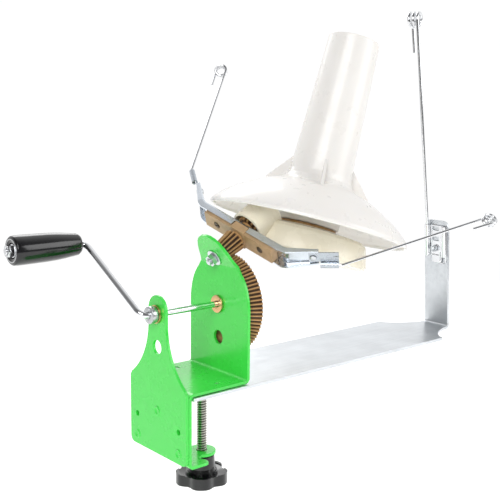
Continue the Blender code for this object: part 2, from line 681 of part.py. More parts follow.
def flyer_wire(side, name):
    """Steel wire from the barrel out to its eyelet."""
    frame = clip_frame(side, 0.0)
    low = CHANNEL_SHEET + GAP + 1.6
    reach = math.dist(ARM_END, TONGUE_END)
    inside = frame @ Vector((4.0, -WIRE_OFFSET, low))
    mouth = frame @ Vector((reach + 2.5, -WIRE_OFFSET, low))
    turn = Matrix.Identity(4) if side > 0 else Matrix.Rotation(math.pi, 4, "Z")
    eye = FLYER @ turn @ EYES[0 if side > 0 else 1]
    run = (eye - mouth).normalized()
    facing = (FLYER @ turn).to_3x3() @ FLYER.to_3x3().transposed() @ EYE_AXIS
    start = eye - facing * EYE_PITCH * EYE_TURNS / 2
    coil = helix(start, facing, run.cross(facing), EYE_RADIUS, EYE_PITCH, EYE_TURNS, 12)
    points = [inside, mouth, mouth + (coil[0] - mouth) * 0.5] + coil
    points.append(coil[-1] - run * EYE_TAIL)
    wire(name, points, WIRE_RADIUS, "chrome", 2, APEX)


def flyer_screw(side, name):
    """Slotted screw through the crossbar into the channel's web."""
    frame = FLYER @ Matrix.Translation((side * 27.0, 0, 0))
    profile = [(0, BAR_S - 0.6), (2.4, BAR_S - 0.4), (3.1, BAR_S + 0.4), (3.1, BAR_S + 1.3)]
    profile += [(1.5, BAR_S + 1.3), (1.5, CHANNEL_S + 1.4), (0, CHANNEL_S + 1.4)]
    place(name, lathe(profile, 12), "zinc_steel", frame, APEX)


# ================================ gear case and cone ========================================
def gear_case():
    outer = [(0, -33.0), (64.5, -33.0), (66.5, -31.0), (61.8, -11.5), (59.0, -8.5), (31.0, -4.5), (0, -4.5)]
    inner = [(0, -31.0), (63.6, -31.0), (64.2, -30.0), (60.0, -12.5), (57.8, -10.4), (31.0, -6.6)]
    inner += [(31.0, 2.0), (0, 2.0)]
    case = place("gear_case", lathe(outer, 40), "ivory_plastic", CONE)
    collar = place("case_collar", cylinder(17.5, 131.0, 161.0, 28), None, AXLE)
    combine(case, collar, "UNION")
    combine(case, place("case_inside", lathe(inner, 40), None, CONE), "DIFFERENCE")
    combine(case, place("case_mouth", cylinder(15.3, 125.0, 158.6, 28), None, AXLE), "DIFFERENCE")
    combine(case, place("case_axle_hole", cylinder(4.4, 150.0, 170.0, 16), None, AXLE), "DIFFERENCE")
    combine(case, place("case_post", cylinder(9.0, -32.0, -23.0, 20), None, CONE), "UNION")
    combine(case, place("case_post_hole", cylinder(4.4, -40.0, -20.0, 16), None, CONE), "DIFFERENCE")


def cone_spindle():
    profile = [(0, -41.0), (4.0, -41.0), (4.0, -22.6), (7.5, -22.6), (7.5, -20.6), (4.0, -20.6)]
    profile += [(4.0, 21.5), (0, 21.5)]
    place("cone_spindle", lathe(profile, 16), "zinc_steel", CONE)
    place("spindle_nut", hexagon(13, -38.8, -33.4, 4.15), "zinc_steel", CONE)
    place("cone_washer", ring_solid(4.3, 8.0, 12.4, 13.6, 20), "zinc_steel", CONE)
    place("cone_nut", hexagon(13, 14.0, 20.0, 4.15), "zinc_steel", CONE)


def cone_gear():
    """Bevel wheel under the cone; its apex is where the cone axis meets the flyer axis."""
    delta = pitch_angle(SHAFT_ANGLE_2, CONE_TEETH, HIGH_TEETH)
    base = MEET_H
    top = base - (CONE_SLANT - CONE_FACE) * math.cos(delta)
    low = base - CONE_SLANT * math.cos(delta)
    heights = [(54.0, low + 0.5), (50.0, -16.5), (10.0, -16.5), (10.0, -20.2), (4.4, -20.2), (4.4, -2.0)]
    heights += [(29.0, -2.0), (29.0, -12.8), (48.5, top)]
    body = [(radius, base - height) for radius, height in heights]
    wheel = bevel_wheel(CONE_TEETH, delta, CONE_SLANT - CONE_FACE, CONE_SLANT, 0.0, body)
    frame = CONE @ Matrix.Translation((0, 0, base)) @ Matrix.Rotation(math.pi, 4, "Y")
    gear = place("cone_gear", wheel, "brown_nylon", frame, FLANGE)
    for index in range(3):
        cut = place(f"cone_gear_hole_{index}", cylinder(1.9, -25, 5, 10), None, screw_frame(index))
        combine(gear, cut, "DIFFERENCE")


def screw_frame(index):
    angle = 2 * math.pi * index / 3 + 0.5
    return CONE @ Matrix.Translation((25.5 * math.cos(angle), 25.5 * math.sin(angle), 0))


def cone_screws():
    for index in range(3):
        profile = [(0, -19.3), (2.2, -19.0), (3.0, -18.2), (3.0, -16.8), (1.5, -16.8), (1.5, 4.0), (0, 4.0)]
        name = f"cone_screw_{index + 1}"
        place(name, lathe(profile, 10), "zinc_steel", screw_frame(index), FLANGE)


def winding_cone():
    rim = FLANGE_RADIUS
    profile = [(23.7, TUBE_TOP_H), (26.2, TUBE_TOP_H), (31.0, 57.0), (32.6, 46.0), (36.8, 39.6)]
    profile += [(44.0, 36.8), (54.0, 33.0), (66.0, 27.0), (78.0, 20.0), (88.0, 13.0), (95.0, 7.0)]
    profile += [(99.4, 2.0), (rim, 0.0), (rim, -2.8), (98.0, -3.4), (97.0, 0.4), (86.6, 10.8)]
    profile += [(76.8, 17.6), (65.0, 24.6), (53.2, 30.4), (43.4, 34.2), (31.0, 36.0), (31.0, -1.7)]
    profile += [(4.4, -1.7), (4.4, 12.0), (10.0, 12.0), (10.0, 6.5)]
    profile += [(26.0, 6.5), (28.4, 50.0)]
    cone = place("winding_cone", lathe(profile, 44, closed=True), "ivory_plastic", CONE, FLANGE)
    for index in range(GUSSETS):
        turn = Matrix.Rotation(GUSSET_ANGLE + 2 * math.pi * index / GUSSETS, 4, "Z")
        stand = Matrix.Rotation(math.pi / 2, 4, "X")
        fin = prism([(28.0, 60.0), (31.2, 60.0), (52.0, 37.5), (52.0, 33.0), (33.0, 34.5)], -1.3, 1.3)
        combine(cone, place(f"cone_gusset_{index}", fin, None, CONE @ turn @ stand), "UNION")
    for index in range(3):
        cut = place(f"cone_hole_{index}", cylinder(1.9, -10, 6.5, 10), None, screw_frame(index))
        combine(cone, cut, "DIFFERENCE")


# ================================ tail strip and guide ======================================
def strip_outline():
    """Tail strip seen from above: broad base, coved shoulders, narrow tongue to the upright."""
    start = 2 * SHEET + 2 * GAP
    half = [(start, STRIP_HALF), (STRIP_SHOULDER_X - 3, STRIP_HALF), (STRIP_SHOULDER_X, STRIP_HALF - 2.5)]
    half += [(STRIP_SHOULDER_X + 4, 39.0), (STRIP_SHOULDER_X + 12, 30.0), (STRIP_SHOULDER_X + 22, 23.5)]
    half += [(STRIP_SHOULDER_X + 35, 18.5), (UPRIGHT_X, UPRIGHT_HALF)]
    return half + [(x, -y) for x, y in reversed(half)]


def leaning():
    """Turn about the strip's end bend that leans the upright and all that it carries."""
    pivot = Matrix.Translation((UPRIGHT_X, 0, ORIGIN.z))
    return pivot @ Matrix.Rotation(-UPRIGHT_LEAN, 4, "Y") @ pivot.inverted()


def tail_strip():
    top = PLATFORM_TOP_Z - SHEET - GAP
    low = top - SHEET
    strip = place("tail_strip", prism(strip_outline(), low, top), "zinc_steel")
    half = [(UPRIGHT_HALF, low)] + arc((UPRIGHT_HALF - 8, UPRIGHT_TOP_Z - 8), 8, 0, 90, 4)
    upright = place("strip_upright", prism(mirrored(half), UPRIGHT_X - SHEET, UPRIGHT_X), None,
                    leaning() @ SHAFT)
    combine(strip, upright, "UNION")
    for index, side in enumerate((-1, 1)):
        shift = Matrix.Translation((43.5, side * 30.8, 0))
        seat = [(0, low - 1), (5.6, low - 1), (5.2, low + 0.2), (2.7, low + 2.4)]
        seat += [(2.7, top + 1), (0, top + 1)]
        combine(strip, place(f"strip_seat_{index}", lathe(seat, 12), None, shift), "DIFFERENCE")
    hole = leaning() @ Matrix.Translation((UPRIGHT_X, 0, 23.0)) @ Matrix.Rotation(math.pi / 2, 4, "Y")
    combine(strip, place("strip_clip_hole", cylinder(2.4, -10, 10, 12), None, hole), "DIFFERENCE")


def strip_screws():
    """Flat-head screws, heads just below the table face, tips inside the platform."""
    top = PLATFORM_TOP_Z - SHEET - GAP
    base = top - SHEET
    for index, side in enumerate((-1, 1)):
        profile = [(0, base + 0.4), (4.6, base + 0.4), (2.2, base + 2.7), (2.2, PLATFORM_TOP_Z - 0.8)]
        profile += [(0, PLATFORM_TOP_Z - 0.8)]
        shift = Matrix.Translation((43.5, side * 30.8, 0))
        place(f"strip_screw_{index + 1}", lathe(profile, 12), "zinc_steel", shift)


def guide_clip():
    """Plate on the upright with both edges rolled; one barrel holds the guide wire."""
    face = UPRIGHT_X - SHEET - GAP
    low, high = 15.0, 46.0
    plate = box((face - 1.4, OPEN_BARREL_Y, low - 4), (face, GUIDE_BARREL_Y, high + 1))
    clip = place("guide_clip", plate, "zinc_steel", leaning())
    for index, y in enumerate((GUIDE_BARREL_Y, OPEN_BARREL_Y)):
        shift = leaning() @ Matrix.Translation((face - BARREL_RADIUS, y, 0))
        barrel = cylinder(BARREL_RADIUS, low, high, 12)
        combine(clip, place(f"guide_barrel_{index}", barrel, None, shift), "UNION")
        bore = cylinder(GUIDE_WIRE_RADIUS + 0.35, low - 6, high + 6, 10)
        combine(clip, place(f"guide_bore_{index}", bore, None, shift), "DIFFERENCE")
    hole = leaning() @ Matrix.Translation((face, 0, 23.0)) @ Matrix.Rotation(math.pi / 2, 4, "Y")
    combine(clip, place("guide_clip_hole", cylinder(2.4, -10, 10, 12), None, hole), "DIFFERENCE")


def guide_fastener():
    """Screw with its head behind the upright and its nut on the clip."""
    face = UPRIGHT_X - SHEET - GAP
    frame = leaning() @ Matrix.Translation((face, 0, 23.0)) @ Matrix.Rotation(-math.pi / 2, 4, "Y")
    back = -SHEET - 2 * GAP
    profile = [(0, back - 2.6), (3.0, back - 2.2), (4.0, back - 1.0), (4.0, back), (2.0, back)]
    profile += [(2.0, 7.6), (0, 7.6)]
    place("guide_screw", lathe(profile, 12), "zinc_steel", frame)
    place("guide_nut", hexagon(7, 1.8, 5.6, 2.1), "zinc_steel", frame)


def guide_wire():
    face = UPRIGHT_X - SHEET - GAP
    x = face - BARREL_RADIUS
    eye = Vector(GUIDE_EYE)
    low = leaning() @ Vector((x, GUIDE_BARREL_Y, 13.0))
    bend = leaning() @ Vector((x, GUIDE_BARREL_Y, 50.0))
    run = (eye - bend).normalized()
    axis = GUIDE_EYE_AXIS
    start = eye - axis * GUIDE_EYE_PITCH * EYE_TURNS / 2
    coil = helix(start, axis, run.cross(axis), GUIDE_EYE_RADIUS, GUIDE_EYE_PITCH, EYE_TURNS, 12)
    points = [low, bend, bend + (coil[0] - bend) * 0.5] + coil
    points.append(coil[-1] - run * GUIDE_TAIL)
    wire("guide_wire", points, GUIDE_WIRE_RADIUS, "chrome", 2, bend)


# ================================ clamp =====================================================
def clamp():
    pivot = Vector((SCREW_X, SCREW_Y, PLATE_FOOT_Z))
    frame = Matrix.Translation((SCREW_X, SCREW_Y, 0))
    face = ORIGIN.z
    lip_low = PLATE_FOOT_Z - SHEET
    top = face - PAD_GAP
    foot = top - PAD_THICK
    pad = [(0, foot), (7.0, foot), (8.0, foot + 1), (8.0, top - 0.8), (7.2, top), (0, top)]
    place("clamp_pad", lathe(pad, 16), "zinc_steel", frame, pivot)
    screw = cylinder(CLAMP_RADIUS, lip_low - 26.0, foot - 0.4, 16)
    place("clamp_screw", screw, "zinc_steel", frame, pivot)
    base = lip_low - 27.0
    outline = []
    for i in range(KNOB_LOBES * 8):
        angle = 2 * math.pi * i / (KNOB_LOBES * 8)
        reach = KNOB_RADIUS - KNOB_VALLEY * (0.5 - 0.5 * math.cos(KNOB_LOBES * angle)) ** 2
        outline.append((reach * math.cos(angle + KNOB_TURN), reach * math.sin(angle + KNOB_TURN)))
    knob = place("clamp_knob", prism(outline, base, base + 10.5), "black_plastic", frame, pivot)
    boss = [(0, base + 2), (13.5, base + 2), (13.5, base + 12), (12.0, base + 15)]
    boss += [(11.6, lip_low - 0.6), (0, lip_low - 0.6)]
    combine(knob, place("knob_boss", lathe(boss, 24), None, frame), "UNION")
    hole = cylinder(CLAMP_RADIUS + 0.35, base + 0.6, lip_low + 5, 16)
    combine(knob, place("knob_bore", hole, None, frame), "DIFFERENCE")


def main():
    for obj in list(bpy.data.objects):
        bpy.data.objects.remove(obj, do_unlink=True)
    bearing_plate()
    main_bracket()
    bushing("front_bushing", -1, 0.0)
    bushing("rear_bushing", -1, PLATE_SPACING)
    crank()
    drive_gear()
    grip()
    flyer_axle()
    flyer_hub()
    flyer_channel()
    for side, tag in ((1, "near"), (-1, "far")):
        wire_clip(side, f"wire_clip_{tag}")
        rivet(side, f"clip_rivet_{tag}")
        flyer_wire(side, f"flyer_wire_{tag}")
        flyer_screw(side, f"flyer_screw_{tag}")
    gear_case()
    cone_spindle()
    cone_gear()
    cone_screws()
    winding_cone()
    tail_strip()
    strip_screws()
    guide_clip()
    guide_fastener()
    guide_wire()
    clamp()


main()
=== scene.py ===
"""Looks of the ball winder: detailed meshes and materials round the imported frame.

Lengths are millimetres in the shaft frame (origin in the front bearing, +X along the crank shaft, +Z up)
and are placed in the row frame, in metres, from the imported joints.
"""
import json
import math

import bmesh
import bpy
from mathutils import Matrix, Vector
from mathutils.geometry import delaunay_2d_cdt, tessellate_polygon


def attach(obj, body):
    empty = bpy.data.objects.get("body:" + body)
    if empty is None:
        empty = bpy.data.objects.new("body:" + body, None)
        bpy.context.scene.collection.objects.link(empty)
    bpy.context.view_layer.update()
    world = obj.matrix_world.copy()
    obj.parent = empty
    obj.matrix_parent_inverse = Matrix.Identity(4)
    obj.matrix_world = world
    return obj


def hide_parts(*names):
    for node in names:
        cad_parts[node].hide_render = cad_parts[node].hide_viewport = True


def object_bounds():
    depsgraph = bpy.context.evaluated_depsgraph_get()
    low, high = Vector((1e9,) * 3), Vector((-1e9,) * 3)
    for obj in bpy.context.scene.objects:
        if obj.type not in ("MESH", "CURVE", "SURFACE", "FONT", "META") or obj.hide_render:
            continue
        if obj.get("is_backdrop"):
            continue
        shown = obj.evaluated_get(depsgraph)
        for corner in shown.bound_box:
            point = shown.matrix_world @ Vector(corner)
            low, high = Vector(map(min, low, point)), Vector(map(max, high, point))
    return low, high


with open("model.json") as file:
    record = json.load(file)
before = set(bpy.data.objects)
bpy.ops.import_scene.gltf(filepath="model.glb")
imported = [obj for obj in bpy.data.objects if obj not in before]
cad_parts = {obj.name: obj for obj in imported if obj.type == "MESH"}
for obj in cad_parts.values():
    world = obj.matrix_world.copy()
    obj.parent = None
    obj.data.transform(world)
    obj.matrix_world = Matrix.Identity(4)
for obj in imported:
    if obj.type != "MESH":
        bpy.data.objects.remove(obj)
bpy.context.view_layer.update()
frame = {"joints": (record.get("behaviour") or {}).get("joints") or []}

MM = 0.001
JOINTS = {joint["name"]: joint for joint in frame["joints"]}

# ================================ sizes, most of them those of the CAD ======================
SHEET = 3.0
GAP = 0.3
PLATE_HALF = 44.0
NECK_HALF = 13.5
NECK_FILLET = 64.8
PLATE_TOP = 16.9
PLATE_FOOT = -130.0
SHOULDER_Z = -63.5
PLATFORM_TOP = -64.0
REAR_X = 69.0
REAR_HALF = 43.5
LIP_X = 26.5
LIP_EDGE = 60.0                 # where the lip is measured from
SCREW = (38.0, -16.0)
TONGUE = 13.0
TAB_S = 87.5                    # mid-plane of the flyer tab along the flyer axis
STRIP_MID = PLATFORM_TOP - 1.5 * SHEET - GAP
STRIP_HALF = 46.8
SHOULDER_X = 346.0
UPRIGHT_X = 395.0
UPRIGHT_HALF = 16.4
UPRIGHT_TOP = 55.0
UPRIGHT_LEAN = math.radians(3.6)   # the upright leans towards the cone
ROD = 3.0
STUB = 3.0                      # the axle's thread through the tab
CLAMP = 4.6                     # over the clamp screw's threads
THROW = 109.0
ARM_X = -16.0
GRIP_END = -91.0
BAR_S = 117.5
CHANNEL_S = 128.0
CHANNEL_HALF = 51.0
ARM_TIP = Vector((74.8, 145.6))
TONGUE_TIP = Vector((91.0, 154.2))
EYES = {"near": Vector((167.1, 13.6, 284.7)), "far": Vector((172.9, 17.2, 282.8))}
EYE_AXIS = Vector((0.09, 0.68, -0.73))
GUIDE_EYE_AXIS = Vector((-0.276, 0.963, 0.0))
EYE_TURNS = 2.5
GUIDE_EYE = Vector((356.7, 19.6, 276.6))
GUIDE_Y, OPEN_Y = 10.0, -14.0     # the clip's two barrels
PAD_GAP = 2.3
PAD_THICK = 5.5
CLAMP_PITCH = 2.34
KNOB_LOBES = 5
KNOB_TURN = math.radians(-127)
BAR_SCREW_X = 27.0              # the crossbar's screws, either side of the axle
STRIP_SCREW = (43.5, 30.8)      # along the strip, and to either side of its middle
GUIDE_SCREW_Z = 23.0
FACE_X = UPRIGHT_X - SHEET - GAP
TUBE_TOP = 190.0

# ================================ frames from the joints ====================================
SHAFT_POINT = Vector(JOINTS["crank_turn"]["pos_m"])
TO_ROW = Matrix.Translation(SHAFT_POINT) @ Matrix.Scale(MM, 4)


def axes(x_axis, y_axis, z_axis, origin=(0, 0, 0)):
    matrix = Matrix((x_axis, y_axis, z_axis)).transposed().to_4x4()
    matrix.translation = origin
    return matrix


def shift(x, y, z):
    return Matrix.Translation((x, y, z))


def about_z(angle):
    return Matrix.Rotation(angle, 4, "Z")


def joint_frame(name, x_axis):
    """Frame on a joint, z along its axis and x as near as can be to x_axis, in shaft millimetres."""
    z = Vector(JOINTS[name]["axis"]).normalized()
    x = (x_axis - z * x_axis.dot(z)).normalized()
    origin = (Vector(JOINTS[name]["pos_m"]) - SHAFT_POINT) / MM
    return axes(x, z.cross(x), z, origin)


SHAFT = axes(Vector((0, 1, 0)), Vector((0, 0, 1)), Vector((1, 0, 0)))
AXLE = joint_frame("flyer_turn", Vector((0, 0, -1)))
CONE = joint_frame("cone_turn", Vector((1, 0, 0)))
FLYER_ANGLE = math.radians(23.8)
DOWN_F = AXLE.to_3x3().col[0]
BAR_DIR = Vector((0, -1, 0)) * math.cos(FLYER_ANGLE) + DOWN_F * math.sin(FLYER_ANGLE)
FLYER = joint_frame("flyer_turn", BAR_DIR)
SHAFT_TILT = math.acos(AXLE.to_3x3().col[2].x)
UPPER_TILT = math.acos(AXLE.to_3x3().col[2].dot(CONE.to_3x3().col[2]))
AROUND_Y = Matrix.Rotation(math.pi / 2, 4, "Y")
BEND_POINT = shift(UPRIGHT_X, 0, STRIP_MID - SHEET / 2)
LEAN = BEND_POINT @ Matrix.Rotation(-UPRIGHT_LEAN, 4, "Y") @ BEND_POINT.inverted()


def axes_meet():
    """Distances along the flyer and the cone axes to the point where they cross."""
    f, n = AXLE.to_3x3().col[2], CONE.to_3x3().col[2]
    d = CONE.translation - AXLE.translation
    det = -f.x * n.z + n.x * f.z
    along = (-d.x * n.z + n.x * d.z) / det
    return along, (AXLE.translation + f * along - CONE.translation).dot(n)


MEET_S, MEET_H = axes_meet()


# ================================ materials =================================================
def shader(name, colour, roughness, metallic, **sockets):
    mat = bpy.data.materials.new(name)
    mat.use_nodes = True
    node = mat.node_tree.nodes["Principled BSDF"]
    node.inputs["Base Color"].default_value = (*colour, 1)
    node.inputs["Roughness"].default_value = roughness
    node.inputs["Metallic"].default_value = metallic
    for key, value in sockets.items():
        node.inputs[key.replace("_", " ").title()].default_value = value
    return mat, node


def coords(mat, scale):
    """Object position stretched by `scale` per axis."""
    nodes, links = mat.node_tree.nodes, mat.node_tree.links
    source = nodes.new("ShaderNodeTexCoord")
    mapping = nodes.new("ShaderNodeMapping")
    mapping.inputs["Scale"].default_value = scale
    links.new(source.outputs["Object"], mapping.inputs["Vector"])
    return mapping.outputs["Vector"]


def noise(mat, scale, detail=4.0, stretch=(1, 1, 1)):
    nodes, links = mat.node_tree.nodes, mat.node_tree.links
    tex = nodes.new("ShaderNodeTexNoise")
    tex.inputs["Scale"].default_value = scale
    tex.inputs["Detail"].default_value = detail
    tex.inputs["Roughness"].default_value = 0.55
    links.new(coords(mat, stretch), tex.inputs["Vector"])
    return tex.outputs["Fac"]


def ramp(mat, value, low, high, at=(0.35, 0.65)):
    """Map a 0..1 value between two numbers or two colours."""
    nodes, links = mat.node_tree.nodes, mat.node_tree.links
    node = nodes.new("ShaderNodeValToRGB")
    for element, position, colour in zip(node.color_ramp.elements, at, (low, high)):
        element.position = position
        element.color = (*colour, 1) if not isinstance(colour, float) else (colour, colour, colour, 1)
    links.new(value, node.inputs["Fac"])
    return node.outputs["Color"]


def bump(mat, shader_node, value, distance, strength=0.5, chain=None):
    nodes, links = mat.node_tree.nodes, mat.node_tree.links
    node = nodes.new("ShaderNodeBump")
    node.inputs["Strength"].default_value = strength
    node.inputs["Distance"].default_value = distance
    links.new(value, node.inputs["Height"])
    if chain:
        links.new(chain, node.inputs["Normal"])
    links.new(node.outputs["Normal"], shader_node.inputs["Normal"])
    return node.outputs["Normal"]


def mix(mat, factor, a, b):
    nodes, links = mat.node_tree.nodes, mat.node_tree.links
    node = nodes.new("ShaderNodeMix")
    node.data_type = "RGBA"
    links.new(factor, node.inputs["Factor"])
    for socket, value in ((node.inputs["A"], a), (node.inputs["B"], b)):
        if isinstance(value, tuple):
            socket.default_value = (*value, 1)
        else:
            links.new(value, socket)
    return node.outputs["Result"]


def powder_coat():
    """Glossy green powder coat with its fine orange peel."""
    mat, node = shader("powder_coat", (0.045, 0.69, 0.065), 0.26, 0.0, coat_weight=0.3, coat_roughness=0.1)
    links = mat.node_tree.links
    links.new(ramp(mat, noise(mat, 9), (0.044, 0.69, 0.062), (0.049, 0.71, 0.071)),
              node.inputs["Base Color"])
    links.new(ramp(mat, noise(mat, 60), 0.23, 0.3), node.inputs["Roughness"])
    bump(mat, node, noise(mat, 700, 2.0), 0.00005, 0.06)
    return mat


def plated(name, colour, roughness, streak, tint=None, root_shade=None):
    """Plated sheet or bar: soft clouding and fine drawing lines; the last argument, when given, is a painted
    shade mixed into the thread roots by the mesh's depth layer.
    """
    mat, node = shader(name, colour, roughness[0], 1.0)
    links = mat.node_tree.links
    tint = tint or tuple(c * 0.9 for c in colour)
    clouds = ramp(mat, noise(mat, 35, 5.0), tint, colour)
    # painted shade: the thread roots are darkened by their depth
    if root_shade:
        depth = mat.node_tree.nodes.new("ShaderNodeAttribute")
        depth.attribute_name = "depth"
        clouds = mix(mat, depth.outputs["Fac"], clouds, root_shade)
    links.new(clouds, node.inputs["Base Color"])
    lines = noise(mat, 260, 3.0, streak)
    links.new(ramp(mat, lines, roughness[0], roughness[1]), node.inputs["Roughness"])
    bump(mat, node, lines, 0.00006, 0.25)
    return mat


def brown_resin(name, light, valley_shade):
    """Filled brown moulding: speckled, with painted shade darkening it down in the tooth spaces."""
    mat, node = shader(name, light, 0.42, 0.0, coat_weight=0.12, coat_roughness=0.3)
    nodes, links = mat.node_tree.nodes, mat.node_tree.links
    depth = nodes.new("ShaderNodeAttribute")
    depth.attribute_name = "depth"
    base = ramp(mat, noise(mat, 140, 6.0), tuple(c * 0.82 for c in light), light)
    # painted shade: the mesh's depth layer mixes the colour towards the dark second colour down in the tooth
    # spaces
    links.new(mix(mat, depth.outputs["Fac"], base, valley_shade), node.inputs["Base Color"])
    links.new(ramp(mat, noise(mat, 220, 4.0), 0.36, 0.55), node.inputs["Roughness"])
    bump(mat, node, noise(mat, 700, 3.0), 0.00008, 0.35)
    return mat


def moulded(name, colour, shade, roughness=0.24, sub=0.0):
    """Glossy moulding with faint flow marks and shallow ripples."""
    mat, node = shader(name, colour, roughness, 0.0, coat_weight=0.25, coat_roughness=0.1)
    node.inputs["Subsurface Weight"].default_value = sub
    node.inputs["Subsurface Radius"].default_value = (0.004, 0.003, 0.002)
    links = mat.node_tree.links
    links.new(ramp(mat, noise(mat, 14, 3.0), shade, colour), node.inputs["Base Color"])
    links.new(ramp(mat, noise(mat, 70, 4.0), roughness * 0.85, roughness * 1.3), node.inputs["Roughness"])
    fine = bump(mat, node, noise(mat, 500, 3.0), 0.00005, 0.2)
    bump(mat, node, noise(mat, 22, 2.0), 0.0006, 0.1, fine)
    return mat


FINISHES = {                      # name: (material slot, material)
    "green": ("green_paint", powder_coat()),
    "chrome": ("chrome", plated("bright_chrome", (0.78, 0.79, 0.81), (0.07, 0.13), (0.2, 1, 1))),
    "zinc": ("zinc_steel", plated("zinc_plate", (0.72, 0.75, 0.78), (0.28, 0.42), (0.06, 1, 1))),
    "bright_zinc": ("zinc_steel", plated("bright_zinc", (0.74, 0.79, 0.85), (0.14, 0.26), (0.3, 1, 1))),
    "satin_zinc": ("zinc_steel", plated("satin_zinc", (0.52, 0.56, 0.61), (0.2, 0.32), (0.3, 1, 1))),
    "steel": ("zinc_steel", plated("machined_steel", (0.56, 0.57, 0.58), (0.2, 0.36), (1, 1, 0.2))),
    # painted shade: the clamp thread's roots are darkened to the near-black last colour
    "thread": ("zinc_steel",
               plated("screw_steel", (0.66, 0.63, 0.57), (0.3, 0.42), (1, 1, 0.2), None,
                      (0.05, 0.045, 0.04))),
    # painted shadow: a dark steel that stands in for the shade down in the crossbar screws' counterbores
    "screw_painted_shadow": ("zinc_steel", plated("screw_steel_painted_shadow", (0.16, 0.13, 0.1), (0.35, 0.5), (1, 1, 0.2))),
    "brass": ("brass",
              plated("bearing_brass", (0.78, 0.5, 0.26), (0.25, 0.38), (1, 1, 0.3), (0.66, 0.38, 0.18))),
    # painted shade: each resin's second, near-black colour is the shade painted into its tooth spaces
    "gear": ("brown_nylon", brown_resin("gear_resin", (0.56, 0.32, 0.13), (0.05, 0.022, 0.008))),
    "bar": ("brown_nylon", brown_resin("bar_resin", (0.55, 0.36, 0.19), (0.06, 0.024, 0.008))),
    "ivory": ("ivory_plastic",
              moulded("ivory_moulding", (0.88, 0.86, 0.83), (0.86, 0.835, 0.80), 0.3, 0.06)),
    "cream": ("ivory_plastic",
              moulded("cream_moulding", (0.92, 0.86, 0.70), (0.90, 0.83, 0.66), 0.26, 0.05)),
    "black": ("black_plastic",
              moulded("black_moulding", (0.006, 0.006, 0.007), (0.004, 0.004, 0.005), 0.15)),
}


# ================================ mesh helpers ==============================================
def rounded(points, radius, steps=3, closed=True):
    """Outline with each corner turned into an arc of about `radius`."""
    result = []
    count = len(points)
    for i, point in enumerate(points):
        here = Vector(point)
        if not closed and i in (0, count - 1):
            result.append(tuple(here))
            continue
        before, after = Vector(points[i - 1]), Vector(points[(i + 1) % count])
        a, b = before - here, after - here
        turn = math.pi - a.angle(b, math.pi)
        if turn < 0.12 or a.length < 1e-6 or b.length < 1e-6:
            result.append(tuple(here))
            continue
        reach = min(radius * math.tan(turn / 2), a.length * 0.45, b.length * 0.45)
        start, end = here + a.normalized() * reach, here + b.normalized() * reach
        for k in range(steps + 1):
            t = k / steps
            result.append(tuple(start * (1 - t) ** 2 + here * 2 * t * (1 - t) + end * t * t))
    return result


def arc(centre, radius, start, end, steps):
    return [(centre[0] + radius * math.cos(math.radians(start + (end - start) * i / steps)),
             centre[1] + radius * math.sin(math.radians(start + (end - start) * i / steps)))
            for i in range(steps + 1)]


def circle(centre, radius, steps):
    return arc(centre, radius, 0, 360 - 360 / steps, steps - 1)


def mirrored(half):
    return half + [(-y, z) for y, z in reversed(half)]


def ring_faces(bm, ring_a, ring_b):
    count = len(ring_a)
    for i in range(count):
        j = (i + 1) % count
        bm.faces.new((ring_a[i], ring_a[j], ring_b[j], ring_b[i]))


def loft(sections, looped=False):
    bm = bmesh.new()
    rings = [[bm.verts.new(point) for point in section] for section in sections]
    for ring_a, ring_b in zip(rings, rings[1:]):
        ring_faces(bm, ring_a, ring_b)
    if looped:
        ring_faces(bm, rings[-1], rings[0])
    else:
        bm.faces.new(rings[0])
        bm.faces.new(rings[-1])
    return bm


def spoke(index, count):
    """Cosine and sine of one of `count` equal steps round a circle."""
    angle = 2 * math.pi * index / count
    return math.cos(angle), math.sin(angle)


def level_ring(radius, height, count):
    return [(radius * spoke(i, count)[0], radius * spoke(i, count)[1], height) for i in range(count)]


def lathe(profile, segments=64, closed=False):
    """Turned solid about +Z; an open profile that starts or ends at radius 0 is closed by a pole."""
    bm = bmesh.new()
    rings = []
    for radius, height in profile:
        if radius < 1e-6:
            rings.append([bm.verts.new((0, 0, height))])
        else:
            rings.append([bm.verts.new(point) for point in level_ring(radius, height, segments)])
    pairs = list(zip(rings, rings[1:]))
    if closed:
        pairs.append((rings[-1], rings[0]))
    for a, b in pairs:
        if len(a) == 1 or len(b) == 1:
            pole, ring = (a, b) if len(a) == 1 else (b, a)
            for i in range(segments):
                bm.faces.new((pole[0], ring[i], ring[(i + 1) % segments]))
        else:
            ring_faces(bm, a, b)
    return bm


def peg(radius, low, high, segments):
    return lathe([(0, low), (radius, low), (radius, high), (0, high)], segments)


def turned(profile, corner=0.4, segments=64):
    """Solid turned from a profile that starts and ends on the axis, with its corners eased."""
    return lathe(rounded(profile, corner, 3, closed=False), segments)


def ring(profile, corner=0.3, segments=64):
    """Ring turned from a closed profile, with its corners eased."""
    return lathe(rounded(profile, corner, 3), segments, closed=True)


def flat_ring(bore, radius, low, high, corner, segments=64):
    return ring([(bore, low), (radius, low), (radius, high), (bore, high)], corner, segments)


def turned_peg(radius, low, high, corner, segments=64):
    return turned([(0, low), (radius, low), (radius, high), (0, high)], corner, segments)


def prism(outline, z0, z1):
    return loft([[(x, y, z) for x, y in outline] for z in (z0, z1)])


def box(low, high):
    corners = [(low[0], low[1]), (high[0], low[1]), (high[0], high[1]), (low[0], high[1])]
    return prism(corners, low[2], high[2])


